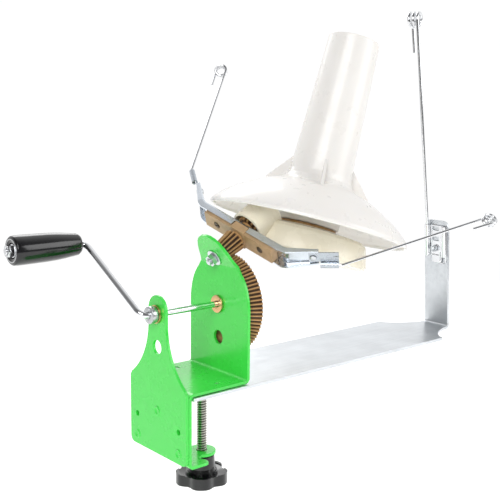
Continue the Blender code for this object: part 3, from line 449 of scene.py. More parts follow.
def piece(name, bm, finish, body, matrix=Matrix.Identity(4), nodes=(), bevel=0.0, angle=32):
    """Make an object from a mesh in millimetres, give it its finish and let it ride on its body."""
    bmesh.ops.remove_doubles(bm, verts=bm.verts, dist=0.0005)
    bmesh.ops.recalc_face_normals(bm, faces=bm.faces)
    bm.transform(TO_ROW @ matrix)
    mesh = bpy.data.meshes.new(name)
    bm.to_mesh(mesh)
    bm.free()
    mesh.shade_smooth()
    mesh.set_sharp_from_angle(angle=math.radians(angle))
    obj = bpy.data.objects.new(name, mesh)
    bpy.context.scene.collection.objects.link(obj)
    if finish is None:
        obj.hide_render = True
        obj.hide_viewport = True
        return obj
    slot, material = FINISHES[finish]
    mesh.materials.append(material)
    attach(obj, body)
    if nodes:
        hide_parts(*nodes)
    if bevel:
        ease_edges(obj, bevel, angle)
    return obj


def ease_edges(obj, width, angle=32, segments=3):
    modifier = obj.modifiers.new("edges", "BEVEL")
    modifier.width = width * MM
    modifier.segments = segments
    modifier.limit_method = "ANGLE"
    modifier.angle_limit = math.radians(angle)
    modifier.use_clamp_overlap = True
    weights = obj.modifiers.new("normals", "WEIGHTED_NORMAL")
    weights.keep_sharp = False


def combine(obj, bm, operation, matrix=Matrix.Identity(4)):
    """Boolean with a mesh in millimetres, applied at once."""
    cutter = piece(obj.name + "_cut", bm, None, None, matrix)
    cutter.hide_viewport = False
    modifier = obj.modifiers.new("cut", "BOOLEAN")
    modifier.operation = operation
    modifier.solver = "EXACT"
    modifier.object = cutter
    bpy.context.view_layer.update()
    graph = bpy.context.evaluated_depsgraph_get()
    mesh = bpy.data.meshes.new_from_object(obj.evaluated_get(graph))
    obj.modifiers.remove(modifier)
    old = obj.data
    obj.data = mesh
    mesh.name = old.name
    bpy.data.meshes.remove(old)
    bpy.data.objects.remove(cutter)
    mesh.set_sharp_from_angle(angle=math.radians(32))


def cut(obj, bm, matrix=Matrix.Identity(4)):
    combine(obj, bm, "DIFFERENCE", matrix)


def join(obj, bm, matrix=Matrix.Identity(4)):
    combine(obj, bm, "UNION", matrix)


def inside(point, outline):
    """Even-odd test of a 2D point in an outline."""
    hit = False
    for (x1, y1), (x2, y2) in zip(outline, outline[1:] + outline[:1]):
        if (y1 > point[1]) != (y2 > point[1]) and point[0] < (x2 - x1) * (point[1] - y1) / (y2 - y1) + x1:
            hit = not hit
    return hit


class FoldedPath:
    """Straight panels joined by round bends. Distances run along the unrounded corner line."""

    def __init__(self, corners, radius):
        self.corners = [Vector(c) for c in corners]
        self.starts = [0.0]
        for a, b in zip(self.corners, self.corners[1:]):
            self.starts.append(self.starts[-1] + (b - a).length)
        self.bends = []
        for i in range(1, len(self.corners) - 1):
            before = (self.corners[i] - self.corners[i - 1]).normalized()
            after = (self.corners[i + 1] - self.corners[i]).normalized()
            turn = before.angle_signed(after)
            reach = radius * math.tan(abs(turn) / 2)
            self.bends.append((self.starts[i], reach, -turn, before, self.corners[i], radius))

    def at(self, u):
        """Position and normal (left of travel) at a distance."""
        for middle, reach, turn, before, corner, radius in self.bends:
            if abs(u - middle) < reach:
                side = math.copysign(1, turn)
                normal = Vector((-before.y, before.x)) * side
                centre = corner - before * reach + normal * radius
                angle = (u - middle + reach) / (2 * reach) * abs(turn)
                direction = before * math.cos(angle) + normal * math.sin(angle)
                out = before * math.sin(angle) - normal * math.cos(angle)
                return centre + out * radius, Vector((-direction.y, direction.x))
        index = max(i for i, s in enumerate(self.starts[:-1]) if s <= u + 1e-9 or i == 0)
        direction = (self.corners[index + 1] - self.corners[index]).normalized()
        normal = Vector((-direction.y, direction.x))
        return self.corners[index] + direction * (u - self.starts[index]), normal

    def lines(self, steps):
        """Distances at which the bends are divided."""
        return [middle + reach * (2 * k / steps - 1) for middle, reach, *_ in self.bends
                for k in range(steps + 1)]


def folded_sheet(outline, holes, path, thickness, steps=8):
    """Sheet cut to an outline of (across, distance) points with holes, then folded along the path."""
    points = [Vector(p) for p in outline]
    faces = [list(range(len(outline)))]
    for hole in holes:
        faces.append(list(range(len(points), len(points) + len(hole))))
        points += [Vector(p) for p in hole]
    edges = []
    width = max(abs(p[0]) for p in outline) + 5
    centres = sorted({round((max(u for _, u in hole) + min(u for _, u in hole)) / 2, 4) for hole in holes})
    for u in path.lines(steps) + centres:
        edges.append((len(points), len(points) + 1))
        points += [Vector((-width, u)), Vector((width, u))]
    verts, _, polygons, *_ = delaunay_2d_cdt(points, edges, faces, 4, 1e-5)
    flat = []
    for polygon in polygons:
        corners = [verts[i].to_3d() for i in polygon]
        tri = max(tessellate_polygon([corners]),
                  key=lambda t: ((corners[t[1]] - corners[t[0]]).cross(corners[t[2]] - corners[t[0]])).length)
        middle = sum((corners[i] for i in tri), Vector()) / 3
        if inside(middle, outline) and not any(inside(middle, hole) for hole in holes):
            flat.append(polygon)
    bm = bmesh.new()
    used = sorted({i for polygon in flat for i in polygon})
    sides = []
    for sign in (0.5, -0.5):
        layer = {}
        for i in used:
            place, normal = path.at(verts[i].y)
            spot = place + normal * thickness * sign
            layer[i] = bm.verts.new((spot.x, verts[i].x, spot.y))
        sides.append(layer)
        for polygon in flat:
            bm.faces.new([layer[i] for i in (polygon if sign > 0 else reversed(polygon))])
    count = {}
    for polygon in flat:
        for a, b in zip(polygon, polygon[1:] + polygon[:1]):
            key = (min(a, b), max(a, b))
            count[key] = count.get(key, []) + [(a, b)]
    for uses in count.values():
        if len(uses) == 1:
            a, b = uses[0]
            bm.faces.new((sides[0][a], sides[1][a], sides[1][b], sides[0][b]))
    return bm


def tube_along(points, radius, sides=16):
    """Round bar swept along points with a rotation-minimising frame and eased ends."""
    points = [Vector(p) for p in points]
    tangents = []
    for i in range(len(points)):
        a, b = points[max(i - 1, 0)], points[min(i + 1, len(points) - 1)]
        tangents.append((b - a).normalized())
    normal = tangents[0].orthogonal().normalized()
    sections = []

    def section(centre, tangent, size):
        other = tangent.cross(normal)
        spokes = [spoke(k, sides) for k in range(sides)]
        return [centre + (normal * cos + other * sin) * size for cos, sin in spokes]

    for i, (point, tangent) in enumerate(zip(points, tangents)):
        normal = (normal - tangent * normal.dot(tangent)).normalized()
        if i == 0:
            sections.append(section(point, tangent, radius * 0.78))
            sections.append(section(point + tangent * radius * 0.22, tangent, radius))
            continue
        if i == len(points) - 1:
            sections.append(section(point - tangent * radius * 0.22, tangent, radius))
            sections.append(section(point, tangent, radius * 0.78))
            continue
        sections.append(section(point, tangent, radius))
    return loft(sections)


def smooth_corners(points, radius, steps=8):
    """3D polyline with its inner corners rounded."""
    return [Vector(p) for p in rounded([Vector(p) for p in points], radius, steps, closed=False)]


def helix(centre, axis, start, radius, pitch, turns, per_turn):
    axis = axis.normalized()
    start = (start - axis * start.dot(axis)).normalized()
    other = axis.cross(start)
    points = []
    for i in range(round(turns * per_turn) + 1):
        cos, sin = spoke(i, per_turn)
        points.append(centre + (start * cos + other * sin) * radius + axis * (pitch * i / per_turn))
    return points


def thread(radius, pitch, z0, z1, depth=0.6, segments=32, rows=6):
    """Threaded bar between two heights: one helical ridge with a rounded trapezoid form."""
    form = [radius - depth, radius - depth * 0.9, radius - depth * 0.3, radius, radius,
            radius - depth * 0.55]
    total = int((z1 - z0) / pitch + 2) * rows
    bm = bmesh.new()
    layer = bm.verts.layers.float.new("depth")
    grid = []
    for k in range(-rows, total):
        line = []
        for j in range(segments):
            z = z0 + (k / rows + j / segments) * pitch
            angle = 2 * math.pi * j / segments
            r = form[k % rows]
            taper = min(z - z0, z1 - z)
            r = min(r, radius - depth + max(taper, 0) * 1.2)
            z = min(max(z, z0), z1)
            vert = bm.verts.new((r * math.cos(angle), r * math.sin(angle), z))
            vert[layer] = min(max((radius - r) / depth, 0), 1)
            line.append(vert)
        grid.append(line)
    for k in range(len(grid) - 1):
        for j in range(segments - 1):
            bm.faces.new((grid[k][j], grid[k][j + 1], grid[k + 1][j + 1], grid[k + 1][j]))
        if k + 1 + rows < len(grid):
            bm.faces.new((grid[k][-1], grid[k + rows][0], grid[k + 1 + rows][0], grid[k + 1][-1]))
    bmesh.ops.remove_doubles(bm, verts=bm.verts, dist=0.001)
    edges = [edge for edge in bm.edges if len(edge.link_faces) == 1]
    bmesh.ops.holes_fill(bm, edges=edges, sides=0)
    return bm


def hex_nut(flats, z0, z1, bore):
    """Chamfered hexagon nut about +Z."""
    corner = flats / math.sqrt(3)
    sides = 48
    rows = [(z0, 0.955), (z0 + (z1 - z0) * 0.14, 1.02), (z1 - (z1 - z0) * 0.14, 1.02), (z1, 0.955)]
    sections = []
    for z, limit in rows:
        line = []
        for i in range(sides):
            angle = 2 * math.pi * i / sides
            local = (angle + math.pi / 6) % (math.pi / 3) - math.pi / 6
            reach = min(flats / 2 / math.cos(math.pi / 6 - abs(local)), corner * limit)
            line.append((reach * math.cos(angle), reach * math.sin(angle), z))
        sections.append(line)
    for z, size in ((z1, bore + 0.5), (z1 - 0.5, bore), (z0 + 0.5, bore), (z0, bore + 0.5)):
        sections.append(level_ring(size, z, sides))
    return loft(sections, looped=True)


# ================================ bracket ===================================================
def front_plate():
    half = [(0.0, PLATE_TOP)] + arc((0, PLATE_TOP - NECK_HALF), NECK_HALF, 80, 0, 12)
    half += arc((NECK_HALF + NECK_FILLET, -8.0), NECK_FILLET, 180, 236, 20)
    half += [(PLATE_HALF - 1.5, SHOULDER_Z + 0.4), (PLATE_HALF - 0.4, SHOULDER_Z - 0.4),
             (PLATE_HALF, SHOULDER_Z - 2)]
    half += arc((PLATE_HALF - 6, PLATE_FOOT + 6), 6, 0, -90, 8)
    outline = half + [(-y, z) for y, z in reversed(half[1:])]
    lift = 200.0
    path = FoldedPath([(SHEET / 2, -lift), (SHEET / 2, 100)], 1)
    holes = [circle((0, lift), 5.2, 40), circle((0, lift - 30.2), 6.5, 40)]
    holes += [circle((side * 32.6, lift - 100.3), 2.6, 24) for side in (-1, 1)]
    bm = folded_sheet([(y, z + lift) for y, z in outline], holes, path, SHEET)
    piece("front_plate_sheet", bm, "green", "frame", nodes=["bearing_plate"], bevel=0.45)
    for index, (y, z) in enumerate(((0, -89), (-32.5, -120), (32.5, -120))):
        dimple = [(4.6, -0.2), (4.5, 0.1), (4.0, 0.55), (3.4, 0.8), (2.8, 0.5), (1.8, 0.12), (0, 0.05)]
        spot = axes(Vector((0, 0, 1)), Vector((0, 1, 0)), Vector((-1, 0, 0)), Vector((0, y, z)))
        piece(f"weld_dimple_{index + 1}", lathe([(0, -0.2)] + dimple, 40), "green", "frame", spot)


def bracket_sheet():
    front = SHEET + GAP
    wall_x, lip_z = front + SHEET / 2, PLATE_FOOT - SHEET / 2
    deck_z, rear_x = PLATFORM_TOP - SHEET / 2, REAR_X + SHEET / 2
    f, origin = AXLE.to_3x3().col[2], AXLE.translation
    fold_z = (TAB_S - (rear_x - origin.x) * f.x) / f.z
    up = Vector((-f.z, f.x))
    fold = Vector((rear_x, fold_z))
    tip = fold + up * 60
    corners = [(LIP_EDGE, lip_z), (wall_x, lip_z), (wall_x, deck_z), (rear_x, deck_z), fold, tip]
    path = FoldedPath(corners, 3.6)
    s_wall, s_deck, s_rear, s_tab = path.starts[1:5]

    def lip(x, y):
        return (y, LIP_EDGE - x)

    def deck(x, y):
        return (y, s_deck + x - wall_x)

    def rear(y, z):
        return (y, s_rear + z - deck_z)

    axle_up = (origin - Vector((fold.x, 0, fold.y))).dot(-DOWN_F)

    def tab(y, height):
        return (y, s_tab + axle_up + height)

    near = [lip(LIP_X - 4, -PLATE_HALF), lip(LIP_X - 1.2, -PLATE_HALF + 1), lip(LIP_X, -PLATE_HALF + 3.5)]
    near += [lip(LIP_X - 0.2, -PLATE_HALF + 6.5), lip(LIP_X - 1.9, -PLATE_HALF + 10)]
    near += [lip(LIP_X - 2.2, -PLATE_HALF + 13.5)]
    tongue = [lip(SCREW[0] + dx, SCREW[1] + dy) for dx, dy in arc((0, 0), TONGUE, -125, 96, 20)]
    far = [lip(SCREW[0] - 12, SCREW[1] + TONGUE + 3), lip(LIP_X - 5, 8), lip(LIP_X - 6, 14)]
    far += [lip(LIP_X - 6, PLATE_HALF - 3.5), lip(LIP_X - 9, PLATE_HALF)]
    side = [(PLATE_HALF, s_wall + 3), (PLATE_HALF, s_deck + 4), deck(REAR_X - 6, REAR_HALF)]
    ogive = [(REAR_HALF, -3.0), (43.3, 3), (42.6, 8.0), (41.6, 13), (40.2, 17.5), (38.6, 21.7),
             (36.4, 25.5), (33.9, 29), (31.0, 32.0)]
    side += [rear(y, z) for y, z in ogive]
    crown = [tab(24.6, -4.5), tab(22.6, 0.5), tab(20.9, 6.0), tab(18.6, 11.5), tab(15.4, 17.0),
             tab(11.4, 21.0), tab(6.2, 23.7), tab(0.0, 24.6)]
    right = side + crown
    left = [(-y, u) for y, u in reversed(right[:-1])]
    outline = near + tongue + far + right + left
    holes = [circle(lip(*SCREW), CLAMP + 0.35, 32), circle(rear(0, 0), 5.2, 40),
             circle(rear(0, -32.0), 6.5, 40), circle(tab(0, 0), STUB + 0.3, 32)]
    holes += [circle(deck(STRIP_SCREW[0], side * STRIP_SCREW[1]), 2.7, 24) for side in (-1, 1)]
    bm = folded_sheet(outline, holes, path, SHEET)
    piece("bracket_sheet", bm, "green", "frame", nodes=["main_bracket"], bevel=0.45)


def bearing(name, node, plate_x, tail):
    """Flanged brass bush."""
    bore, near = ROD + 0.15, plate_x - GAP
    profile = [(bore, near - 2.2), (8.3, near - 2.2), (8.3, near), (4.5, near), (4.5, tail), (bore, tail)]
    obj = ring(profile, 0.35)
    piece(name, obj, "brass", "frame", SHAFT, [node])


# ================================ crank =====================================================
CRANK_OUT = Vector((0, math.cos(math.radians(28.9)), math.sin(math.radians(28.9))))


def crank():
    corner, tip = Vector((ARM_X, 0, 0)), Vector((ARM_X, 0, 0)) + CRANK_OUT * THROW
    end = Vector((GRIP_END - 5.5, 0, 0)) + CRANK_OUT * THROW
    route = smooth_corners([Vector((101, 0, 0)), corner, tip, end], 9.0, 14)
    piece("bent_crank_rod", tube_along(route, ROD, 32), "chrome", "crank", nodes=["crank_rod"])
    collar = flat_ring(ROD + 0.1, 7.8, -9.0, -2.9, 0.7)
    obj = piece("shaft_collar", collar, "steel", "crank", SHAFT, ["retaining_collar"])
    hole = shift(-6, 0, 0) @ axes(Vector((1, 0, 0)), Vector((0, 0.9, 0.43)), Vector((0, -0.43, 0.9)))
    cut(obj, peg(1.5, 4.5, 9, 24), hole)
    screw = piece("collar_set_screw", turned_peg(1.4, 4.6, 7.0, 0.2, 24), "thread", "crank", hole)
    cut(screw, prism(circle((0, 0), 0.75, 6), 6.0, 8.0), hole)


def grip():
    out = CRANK_OUT * THROW
    place = axes(Vector((0, 1, 0)), Vector((0, 0, 1)), Vector((1, 0, 0)), out)
    free, root = GRIP_END, ARM_X - 6.8
    bore = ROD + 0.3
    profile = [(bore, free + 3), (6.6, free + 3), (7.4, free + 0.6), (9.6, free), (12.2, free),
               (13.4, free + 1.2), (13.75, free + 4), (13.8, free + 10), (13.6, free + 22),
               (13.4, free + 33), (13.0, free + 42), (12.2, free + 51), (11.3, free + 58),
               (10.4, root - 3), (9.2, root - 0.8), (7.6, root), (bore, root)]
    bm = ring(profile, 0.8, 72)
    piece("hand_grip", bm, "black", "grip", place, ["handle_grip"])
    rim = flat_ring(9.9, 11.0, free - 0.25, free + 0.4, 0.1, 72)
    piece("grip_rim", rim, "steel", "grip", place)
    washer = flat_ring(bore, 6.2, free + 1.2, free + 2.5, 0.25)
    piece("grip_end_washer", washer, "chrome", "crank", place, ["grip_washer"])
    piece("grip_end_nut", hex_nut(10, free - 4.6, free + 0.9, bore), "chrome", "crank", place,
          ["grip_nut"], angle=40)
    end = thread(ROD, 1.0, free - 5.8, free - 3.8, 0.4)
    piece("rod_end_thread", end, "chrome", "crank", place)


# ================================ gears =====================================================
PRESSURE = math.radians(20)
TOOTH_SHARE = 0.80
ROOT_DEPTH = 1.2


def involute(angle):
    return math.tan(angle) - angle


def tooth_half(teeth, delta, offset):
    virtual = teeth / math.cos(delta) / 2
    base = virtual * math.cos(PRESSURE)
    radius = max(virtual + offset, base)
    half = TOOTH_SHARE * math.pi / (4 * virtual) + involute(PRESSURE) - involute(math.acos(base / radius))
    return half * (virtual + offset) / (teeth / 2 + offset * math.cos(delta))


def tooth_ring(teeth, delta, slant, offsets, first):
    """One section of bevel teeth, with each point's depth (0 at the tip, 1 at the root)."""
    radius = slant * math.sin(delta)
    module = 2 * radius / teeth
    points = []
    for tooth in range(teeth):
        centre = first + 2 * math.pi * tooth / teeth
        for side, order in ((-1, offsets), (1, tuple(reversed(offsets)))):
            for offset in order:
                r = radius + offset * module * math.cos(delta)
                z = slant * math.cos(delta) - offset * module * math.sin(delta)
                angle = centre + side * tooth_half(teeth, delta, offset)
                depth = min(max((0.4 - offset) / 1.4, 0), 1)
                points.append((r * math.cos(angle), r * math.sin(angle), z, depth))
        centre += math.pi / teeth
        r = radius - ROOT_DEPTH * module * math.cos(delta)
        z = slant * math.cos(delta) + ROOT_DEPTH * module * math.sin(delta)
        points.append((r * math.cos(centre), r * math.sin(centre), z, 1.0))
    return points


def bevel_teeth(teeth, delta, near, far, first, top, body=None, steps=3):
    """Bevel gear mesh with a "depth" layer; `body` closes it into a wheel, else both ends are capped."""
    offsets = (-ROOT_DEPTH, -0.5, 0.3, top - 0.12, top)
    inner = tuple(min(o, top - 0.14) for o in offsets)
    bm = bmesh.new()
    layer = bm.verts.layers.float.new("depth")
    stations = [(near, inner), (near + 0.5, offsets)]
    stations += [(near + (far - near) * k / steps, offsets) for k in range(1, steps)]
    stations += [(far - 0.5, offsets), (far, inner)]
    rings = []
    for slant, form in stations:
        line = []
        for x, y, z, depth in tooth_ring(teeth, delta, slant, form, first):
            vert = bm.verts.new((x, y, z))
            vert[layer] = depth
            line.append(vert)
        rings.append(line)
    for a, b in zip(rings, rings[1:]):
        ring_faces(bm, a, b)
    if not body:
        bm.faces.new(rings[0])
        bm.faces.new(rings[-1])
        return bm
    per = 2 * len(offsets) + 1
    loops = []
    for radius, z in body:
        angles = [first + 2 * math.pi * (i - 0.5) / teeth for i in range(teeth)]
        loops.append([bm.verts.new((radius * math.cos(angle), radius * math.sin(angle), z))
                      for angle in angles])
    for a, b in zip(loops, loops[1:]):
        ring_faces(bm, a, b)
    for toothed, loop in ((rings[-1], loops[0]), (rings[0], loops[-1])):
        for i in range(teeth):
            before = toothed[(i - 1) % teeth * per + per - 1]
            bm.faces.new([loop[i], before] + toothed[i * per:(i + 1) * per] + [loop[(i + 1) % teeth]])
    return bm


def pitch_angle(shaft_angle, teeth, other):
    return math.atan2(math.sin(shaft_angle), other / teeth + math.cos(shaft_angle))


DRIVE, LOW, HIGH, CONE_GEAR = 74, 15, 13, 79


def drive_wheel():
    delta = pitch_angle(SHAFT_TILT, DRIVE, LOW)
    near, far = 92.4, 104.4
    far_z, near_z = far * math.cos(delta), near * math.cos(delta)
    bore = ROD + 0.2
    body = [(41.5, far_z - 0.3), (40.8, far_z - 0.6), (38.9, far_z - 3.4), (38.2, far_z - 3.7),
            (12.2, far_z - 3.7), (11.4, far_z - 3.0), (10.7, far_z + 4.6), (10.2, far_z + 5.0),
            (bore, far_z + 5.0), (bore, near_z + 0.3), (10.2, near_z + 0.3), (10.6, near_z + 0.7),
            (11.4, near_z + 2.7), (12.0, near_z + 3.0), (35.0, near_z + 3.0), (35.5, near_z + 2.7)]
    wheel = bevel_teeth(DRIVE, delta, near, far, math.pi / 2, 0.8, body)
    place = SHAFT.copy()
    place.translation = AXLE.translation
    piece("drive_bevel_wheel", wheel, "gear", "crank", place, ["drive_gear"], angle=28)
    for index in range(6):
        turn = about_z(2 * math.pi * (index + 0.5) / 6)
        rib = box((11.0, -1.3, far_z - 4.2), (40.0, 1.3, far_z - 0.9))
        rib_piece = piece(f"drive_wheel_rib_{index + 1}", rib, "gear", "crank", place @ turn, bevel=0.4)
        rib_piece.data.name = "wheel_rib"
    washer = flat_ring(bore, 6.5, 91.0, 92.2, 0.25)
    piece("drive_washer", washer, "zinc", "crank", SHAFT, ["drive_gear_washer"])
    piece("drive_nut", hex_nut(10, 92.5, 98, bore), "zinc", "crank", SHAFT, ["drive_gear_nut"], angle=40)
    piece("shaft_end_thread", thread(ROD, 1.0, 97.0, 101.2, 0.4), "chrome", "crank", SHAFT)


def flyer_hub():
    """Both pinions, the boss and the crossbar, moulded in one."""
    low = pitch_angle(SHAFT_TILT, LOW, DRIVE)
    turn = FLYER.to_3x3().transposed() @ DOWN_F
    towards = math.atan2(turn.y, turn.x)
    scale = 1 / math.cos(low)
    teeth = bevel_teeth(LOW, low, 96.0 * scale, 114.0 * scale, towards + math.pi / LOW, 0.85)
    lower = piece("lower_pinion", teeth, "gear", "flyer", FLYER, angle=28)
    cut(lower, peg(4.25, 90, 120, 40), FLYER)
    half, wide, top = 42.0, 8.7, CHANNEL_S - 2.3
    bar = rounded([(-half, -wide), (half, -wide), (half, wide), (-half, wide)], 0.6, 3)
    cross = piece("crossbar", prism(bar, BAR_S, top), "bar", "flyer", FLYER, ["flyer_hub"])
    for side in (-1, 1):
        spot = FLYER @ shift(side * BAR_SCREW_X, 0, 0)
        sink = [(0, BAR_S - 2), (3.7, BAR_S - 2), (3.7, BAR_S + 1.6), (1.9, BAR_S + 1.6),
                (1.9, top + 2), (0, top + 2)]
        cut(cross, lathe(sink, 32), spot)
    cut(cross, peg(8.0, 90, 140, 48), FLYER)
    ease_edges(cross, 0.6)
    boss = rounded([(-8.4, -10.9), (8.4, -10.9), (8.4, 10.9), (-8.4, 10.9)], 1.6, 4)
    piece("hub_boss", prism(boss, BAR_S - 0.6, top), "bar", "flyer", FLYER, bevel=0.6)
    collar = [(4.3, 113.4), (7.0, 113.4), (7.4, BAR_S - 0.4), (4.3, BAR_S - 0.4)]
    piece("hub_shoulder", ring(collar, 0.4), "gear", "flyer", FLYER)
    neck = [(4.3, top - 0.5), (7.6, top - 0.5), (7.6, 131.8), (7.0, 132.4), (4.3, 132.4)]
    piece("hub_neck", ring(neck, 0.3), "gear", "flyer", FLYER)
    high = pitch_angle(UPPER_TILT, HIGH, CONE_GEAR)
    scale = 1 / math.cos(high)
    flip = FLYER @ shift(0, 0, MEET_S) @ Matrix.Rotation(math.pi, 4, "X")
    teeth = bevel_teeth(HIGH, high, (MEET_S - 157.0) * scale,
                        (MEET_S - 131.5) * scale, math.pi / HIGH - towards, 0.85)
    upper = piece("upper_pinion", teeth, "gear", "flyer", flip, angle=28)
    cut(upper, peg(4.25, 120, 165, 40), FLYER)


def cone_wheel():
    delta = pitch_angle(UPPER_TILT, CONE_GEAR, HIGH)
    near, far = 92.0, 102.0
    low, top = MEET_H - far * math.cos(delta), MEET_H - near * math.cos(delta)
    heights = [(54.2, low + 0.6), (50.0, -16.5), (10.4, -16.5), (10.0, -17.0), (10.0, -19.9), (9.6, -20.2),
               (4.4, -20.2), (4.4, -2.0), (28.6, -2.0), (29.0, -2.4), (29.0, -12.4), (29.4, -12.8),
               (48.5, top)]
    body = [(radius, MEET_H - height) for radius, height in heights]
    wheel = bevel_teeth(CONE_GEAR, delta, near, far, 0.0, 0.8, body)
    place = CONE @ shift(0, 0, MEET_H) @ Matrix.Rotation(math.pi, 4, "Y")
    piece("cone_bevel_wheel", wheel, "gear", "cone", place, ["cone_gear"], angle=28)


# ================================ axle, nuts and screws =====================================
def axle_parts():
    piece("axle_bar", turned_peg(4.0, 89.3, 168.5, 0.5), "steel", "frame", AXLE, ["flyer_axle"])
    piece("axle_thread", thread(STUB, 1.0, 77.0, 89.5), "zinc", "frame", AXLE)
    piece("axle_front_nut", hex_nut(10, 79.4, 84.3, STUB + 0.1), "zinc", "frame", AXLE, ["axle_nut"],
          angle=40)
    washer = flat_ring(STUB + 0.2, 8.0, 84.6, 85.8, 0.3)
    piece("axle_front_washer", washer, "zinc", "frame", AXLE, ["axle_washer"])
    spacer = flat_ring(4.3, 6.0, 89.4, 95.5, 0.3)
    piece("axle_sleeve", spacer, "brass", "frame", AXLE, ["axle_spacer"])
    piece("axle_rear_nut", hex_nut(13, 162.0, 167.0, 4.1), "zinc", "frame", AXLE, ["case_nut"], angle=40)
    spindle = [(0, -41.0), (4.0, -41.0), (4.0, -22.6), (7.5, -22.6), (7.5, -20.6), (4.0, -20.6),
               (4.0, 21.5), (0, 21.5)]
    piece("cone_axle", turned(spindle, 0.4), "steel", "frame", CONE, ["cone_spindle"])
    piece("cone_axle_thread", thread(4.05, 1.25, -41.2, -33.0), "zinc", "frame", CONE)
    piece("spindle_hex_nut", hex_nut(13, -38.8, -33.4, 4.1), "zinc", "frame", CONE, ["spindle_nut"],
          angle=40)
    washer = flat_ring(4.3, 8.0, 12.4, 13.6, 0.3)
    piece("cone_top_washer", washer, "zinc", "frame", CONE, ["cone_washer"])
    piece("cone_top_nut", hex_nut(13, 14.0, 20.0, 4.1), "zinc", "frame", CONE, ["cone_nut"], angle=40)


def slot_screw(name, node, body, place, head, under, radius, end, finish="zinc"):
    """Cheese-head screw along +Z: head from `head` (top) to `under`, shank to `end`, slotted top."""
    thick = under - head
    profile = [(0, head), (radius * 0.75, head), (radius, head + thick * 0.45), (radius, under),
               (radius * 0.5, under), (radius * 0.5, end), (0, end)]
    obj = piece(name, turned(profile, 0.25, 48), finish, body, place, [node])
    cut(obj, box((-radius, -0.5, head - 1), (radius, 0.5, head + abs(thick) * 0.5)), place)


# ================================ flyer =====================================================
def arm_axes():
    along = (ARM_TIP - Vector((CHANNEL_HALF, CHANNEL_S))).normalized()
    return along, Vector((along.y, -along.x))


def channel_section(point, out, half, flange, sheet=1.9):
    """Rounded U section with its web at `point` and its flanges along `out`."""
    outer = [(-half, flange), (-half, 0), (half, 0), (half, flange)]
    inner = [(half - sheet, flange), (half - sheet, sheet), (-half + sheet, sheet), (-half + sheet, flange)]
    outline = [outer[0]] + rounded([outer[0], outer[1], outer[2], outer[3]], 2.6, 4, closed=False)[1:]
    outline += rounded(inner, 1.0, 3, closed=False)
    return [(point.x + out.x * d, w, point.y + out.y * d) for w, d in outline]


def channel():
    along, out = arm_axes()
    stations = []
    corner = Vector((CHANNEL_HALF, CHANNEL_S))
    turn = math.atan2(along.y, along.x)
    bend = 9.0
    reach = bend * math.tan(turn / 2)
    centre = Vector((corner.x - reach, corner.y + bend))
    for k in range(9):
        angle = turn * k / 8
        normal = Vector((math.sin(angle), -math.cos(angle)))
        stations.append((centre + normal * bend, normal, 11.0, 8.0 - 1.4 * k / 8))
    for share, half, flange in ((0.45, 10.2, 5.4), (0.8, 9.3, 4.4), (0.96, 9.0, 4.0), (1.0, 8.6, 3.4)):
        point = corner + along * ((ARM_TIP - corner).length * share)
        if (point - corner).length > reach:
            stations.append((point, out, half, flange))
    right = [channel_section(*s) for s in stations]
    left = [[(-x, y, z) for x, y, z in section] for section in reversed(right)]
    obj = piece("flyer_arms", loft(left + right), "bright_zinc", "flyer", FLYER, ["flyer_channel"])
    notch = rounded([(-9.0, BAR_S - 5), (9.0, BAR_S - 5), (9.0, CHANNEL_S - 2.2),
                     (-9.0, CHANNEL_S - 2.2)], 1.2, 4)
    standing = Matrix.Rotation(math.pi / 2, 4, "X")
    cut(obj, prism(notch, -20, 20), FLYER @ standing)
    cut(obj, peg(8.2, 120, 135, 48), FLYER)
    for side in (-1, 1):
        hole = peg(2.0, 120, 135, 24)
        cut(obj, hole, FLYER @ shift(side * BAR_SCREW_X, 0, 0))
        cut(obj, peg(2.1, -5, 8, 24), clip_frame(side, 5.0))
    ease_edges(obj, 0.3)


def clip_frame(side, distance):
    """x along the arm, z out of its web; the origin lies before the arm's tip."""
    along, out = arm_axes()
    x_axis, z_axis = Vector((along.x, 0, along.y)), Vector((out.x, 0, out.y))
    origin = Vector((ARM_TIP.x, 0, ARM_TIP.y)) - x_axis * distance
    turn = Matrix.Identity(4) if side > 0 else about_z(math.pi)
    return FLYER @ turn @ axes(x_axis, z_axis.cross(x_axis), z_axis, origin)


def strip_section(midline, thickness):
    """Closed outline of a thin strip that follows a midline."""
    left, right = [], []
    for i, point in enumerate(midline):
        a, b = Vector(midline[max(i - 1, 0)]), Vector(midline[min(i + 1, len(midline) - 1)])
        along = (b - a).normalized()
        normal = Vector((-along.y, along.x)) * thickness / 2
        left.append(tuple(Vector(point) + normal))
        right.append(tuple(Vector(point) - normal))
    return left + right[::-1]


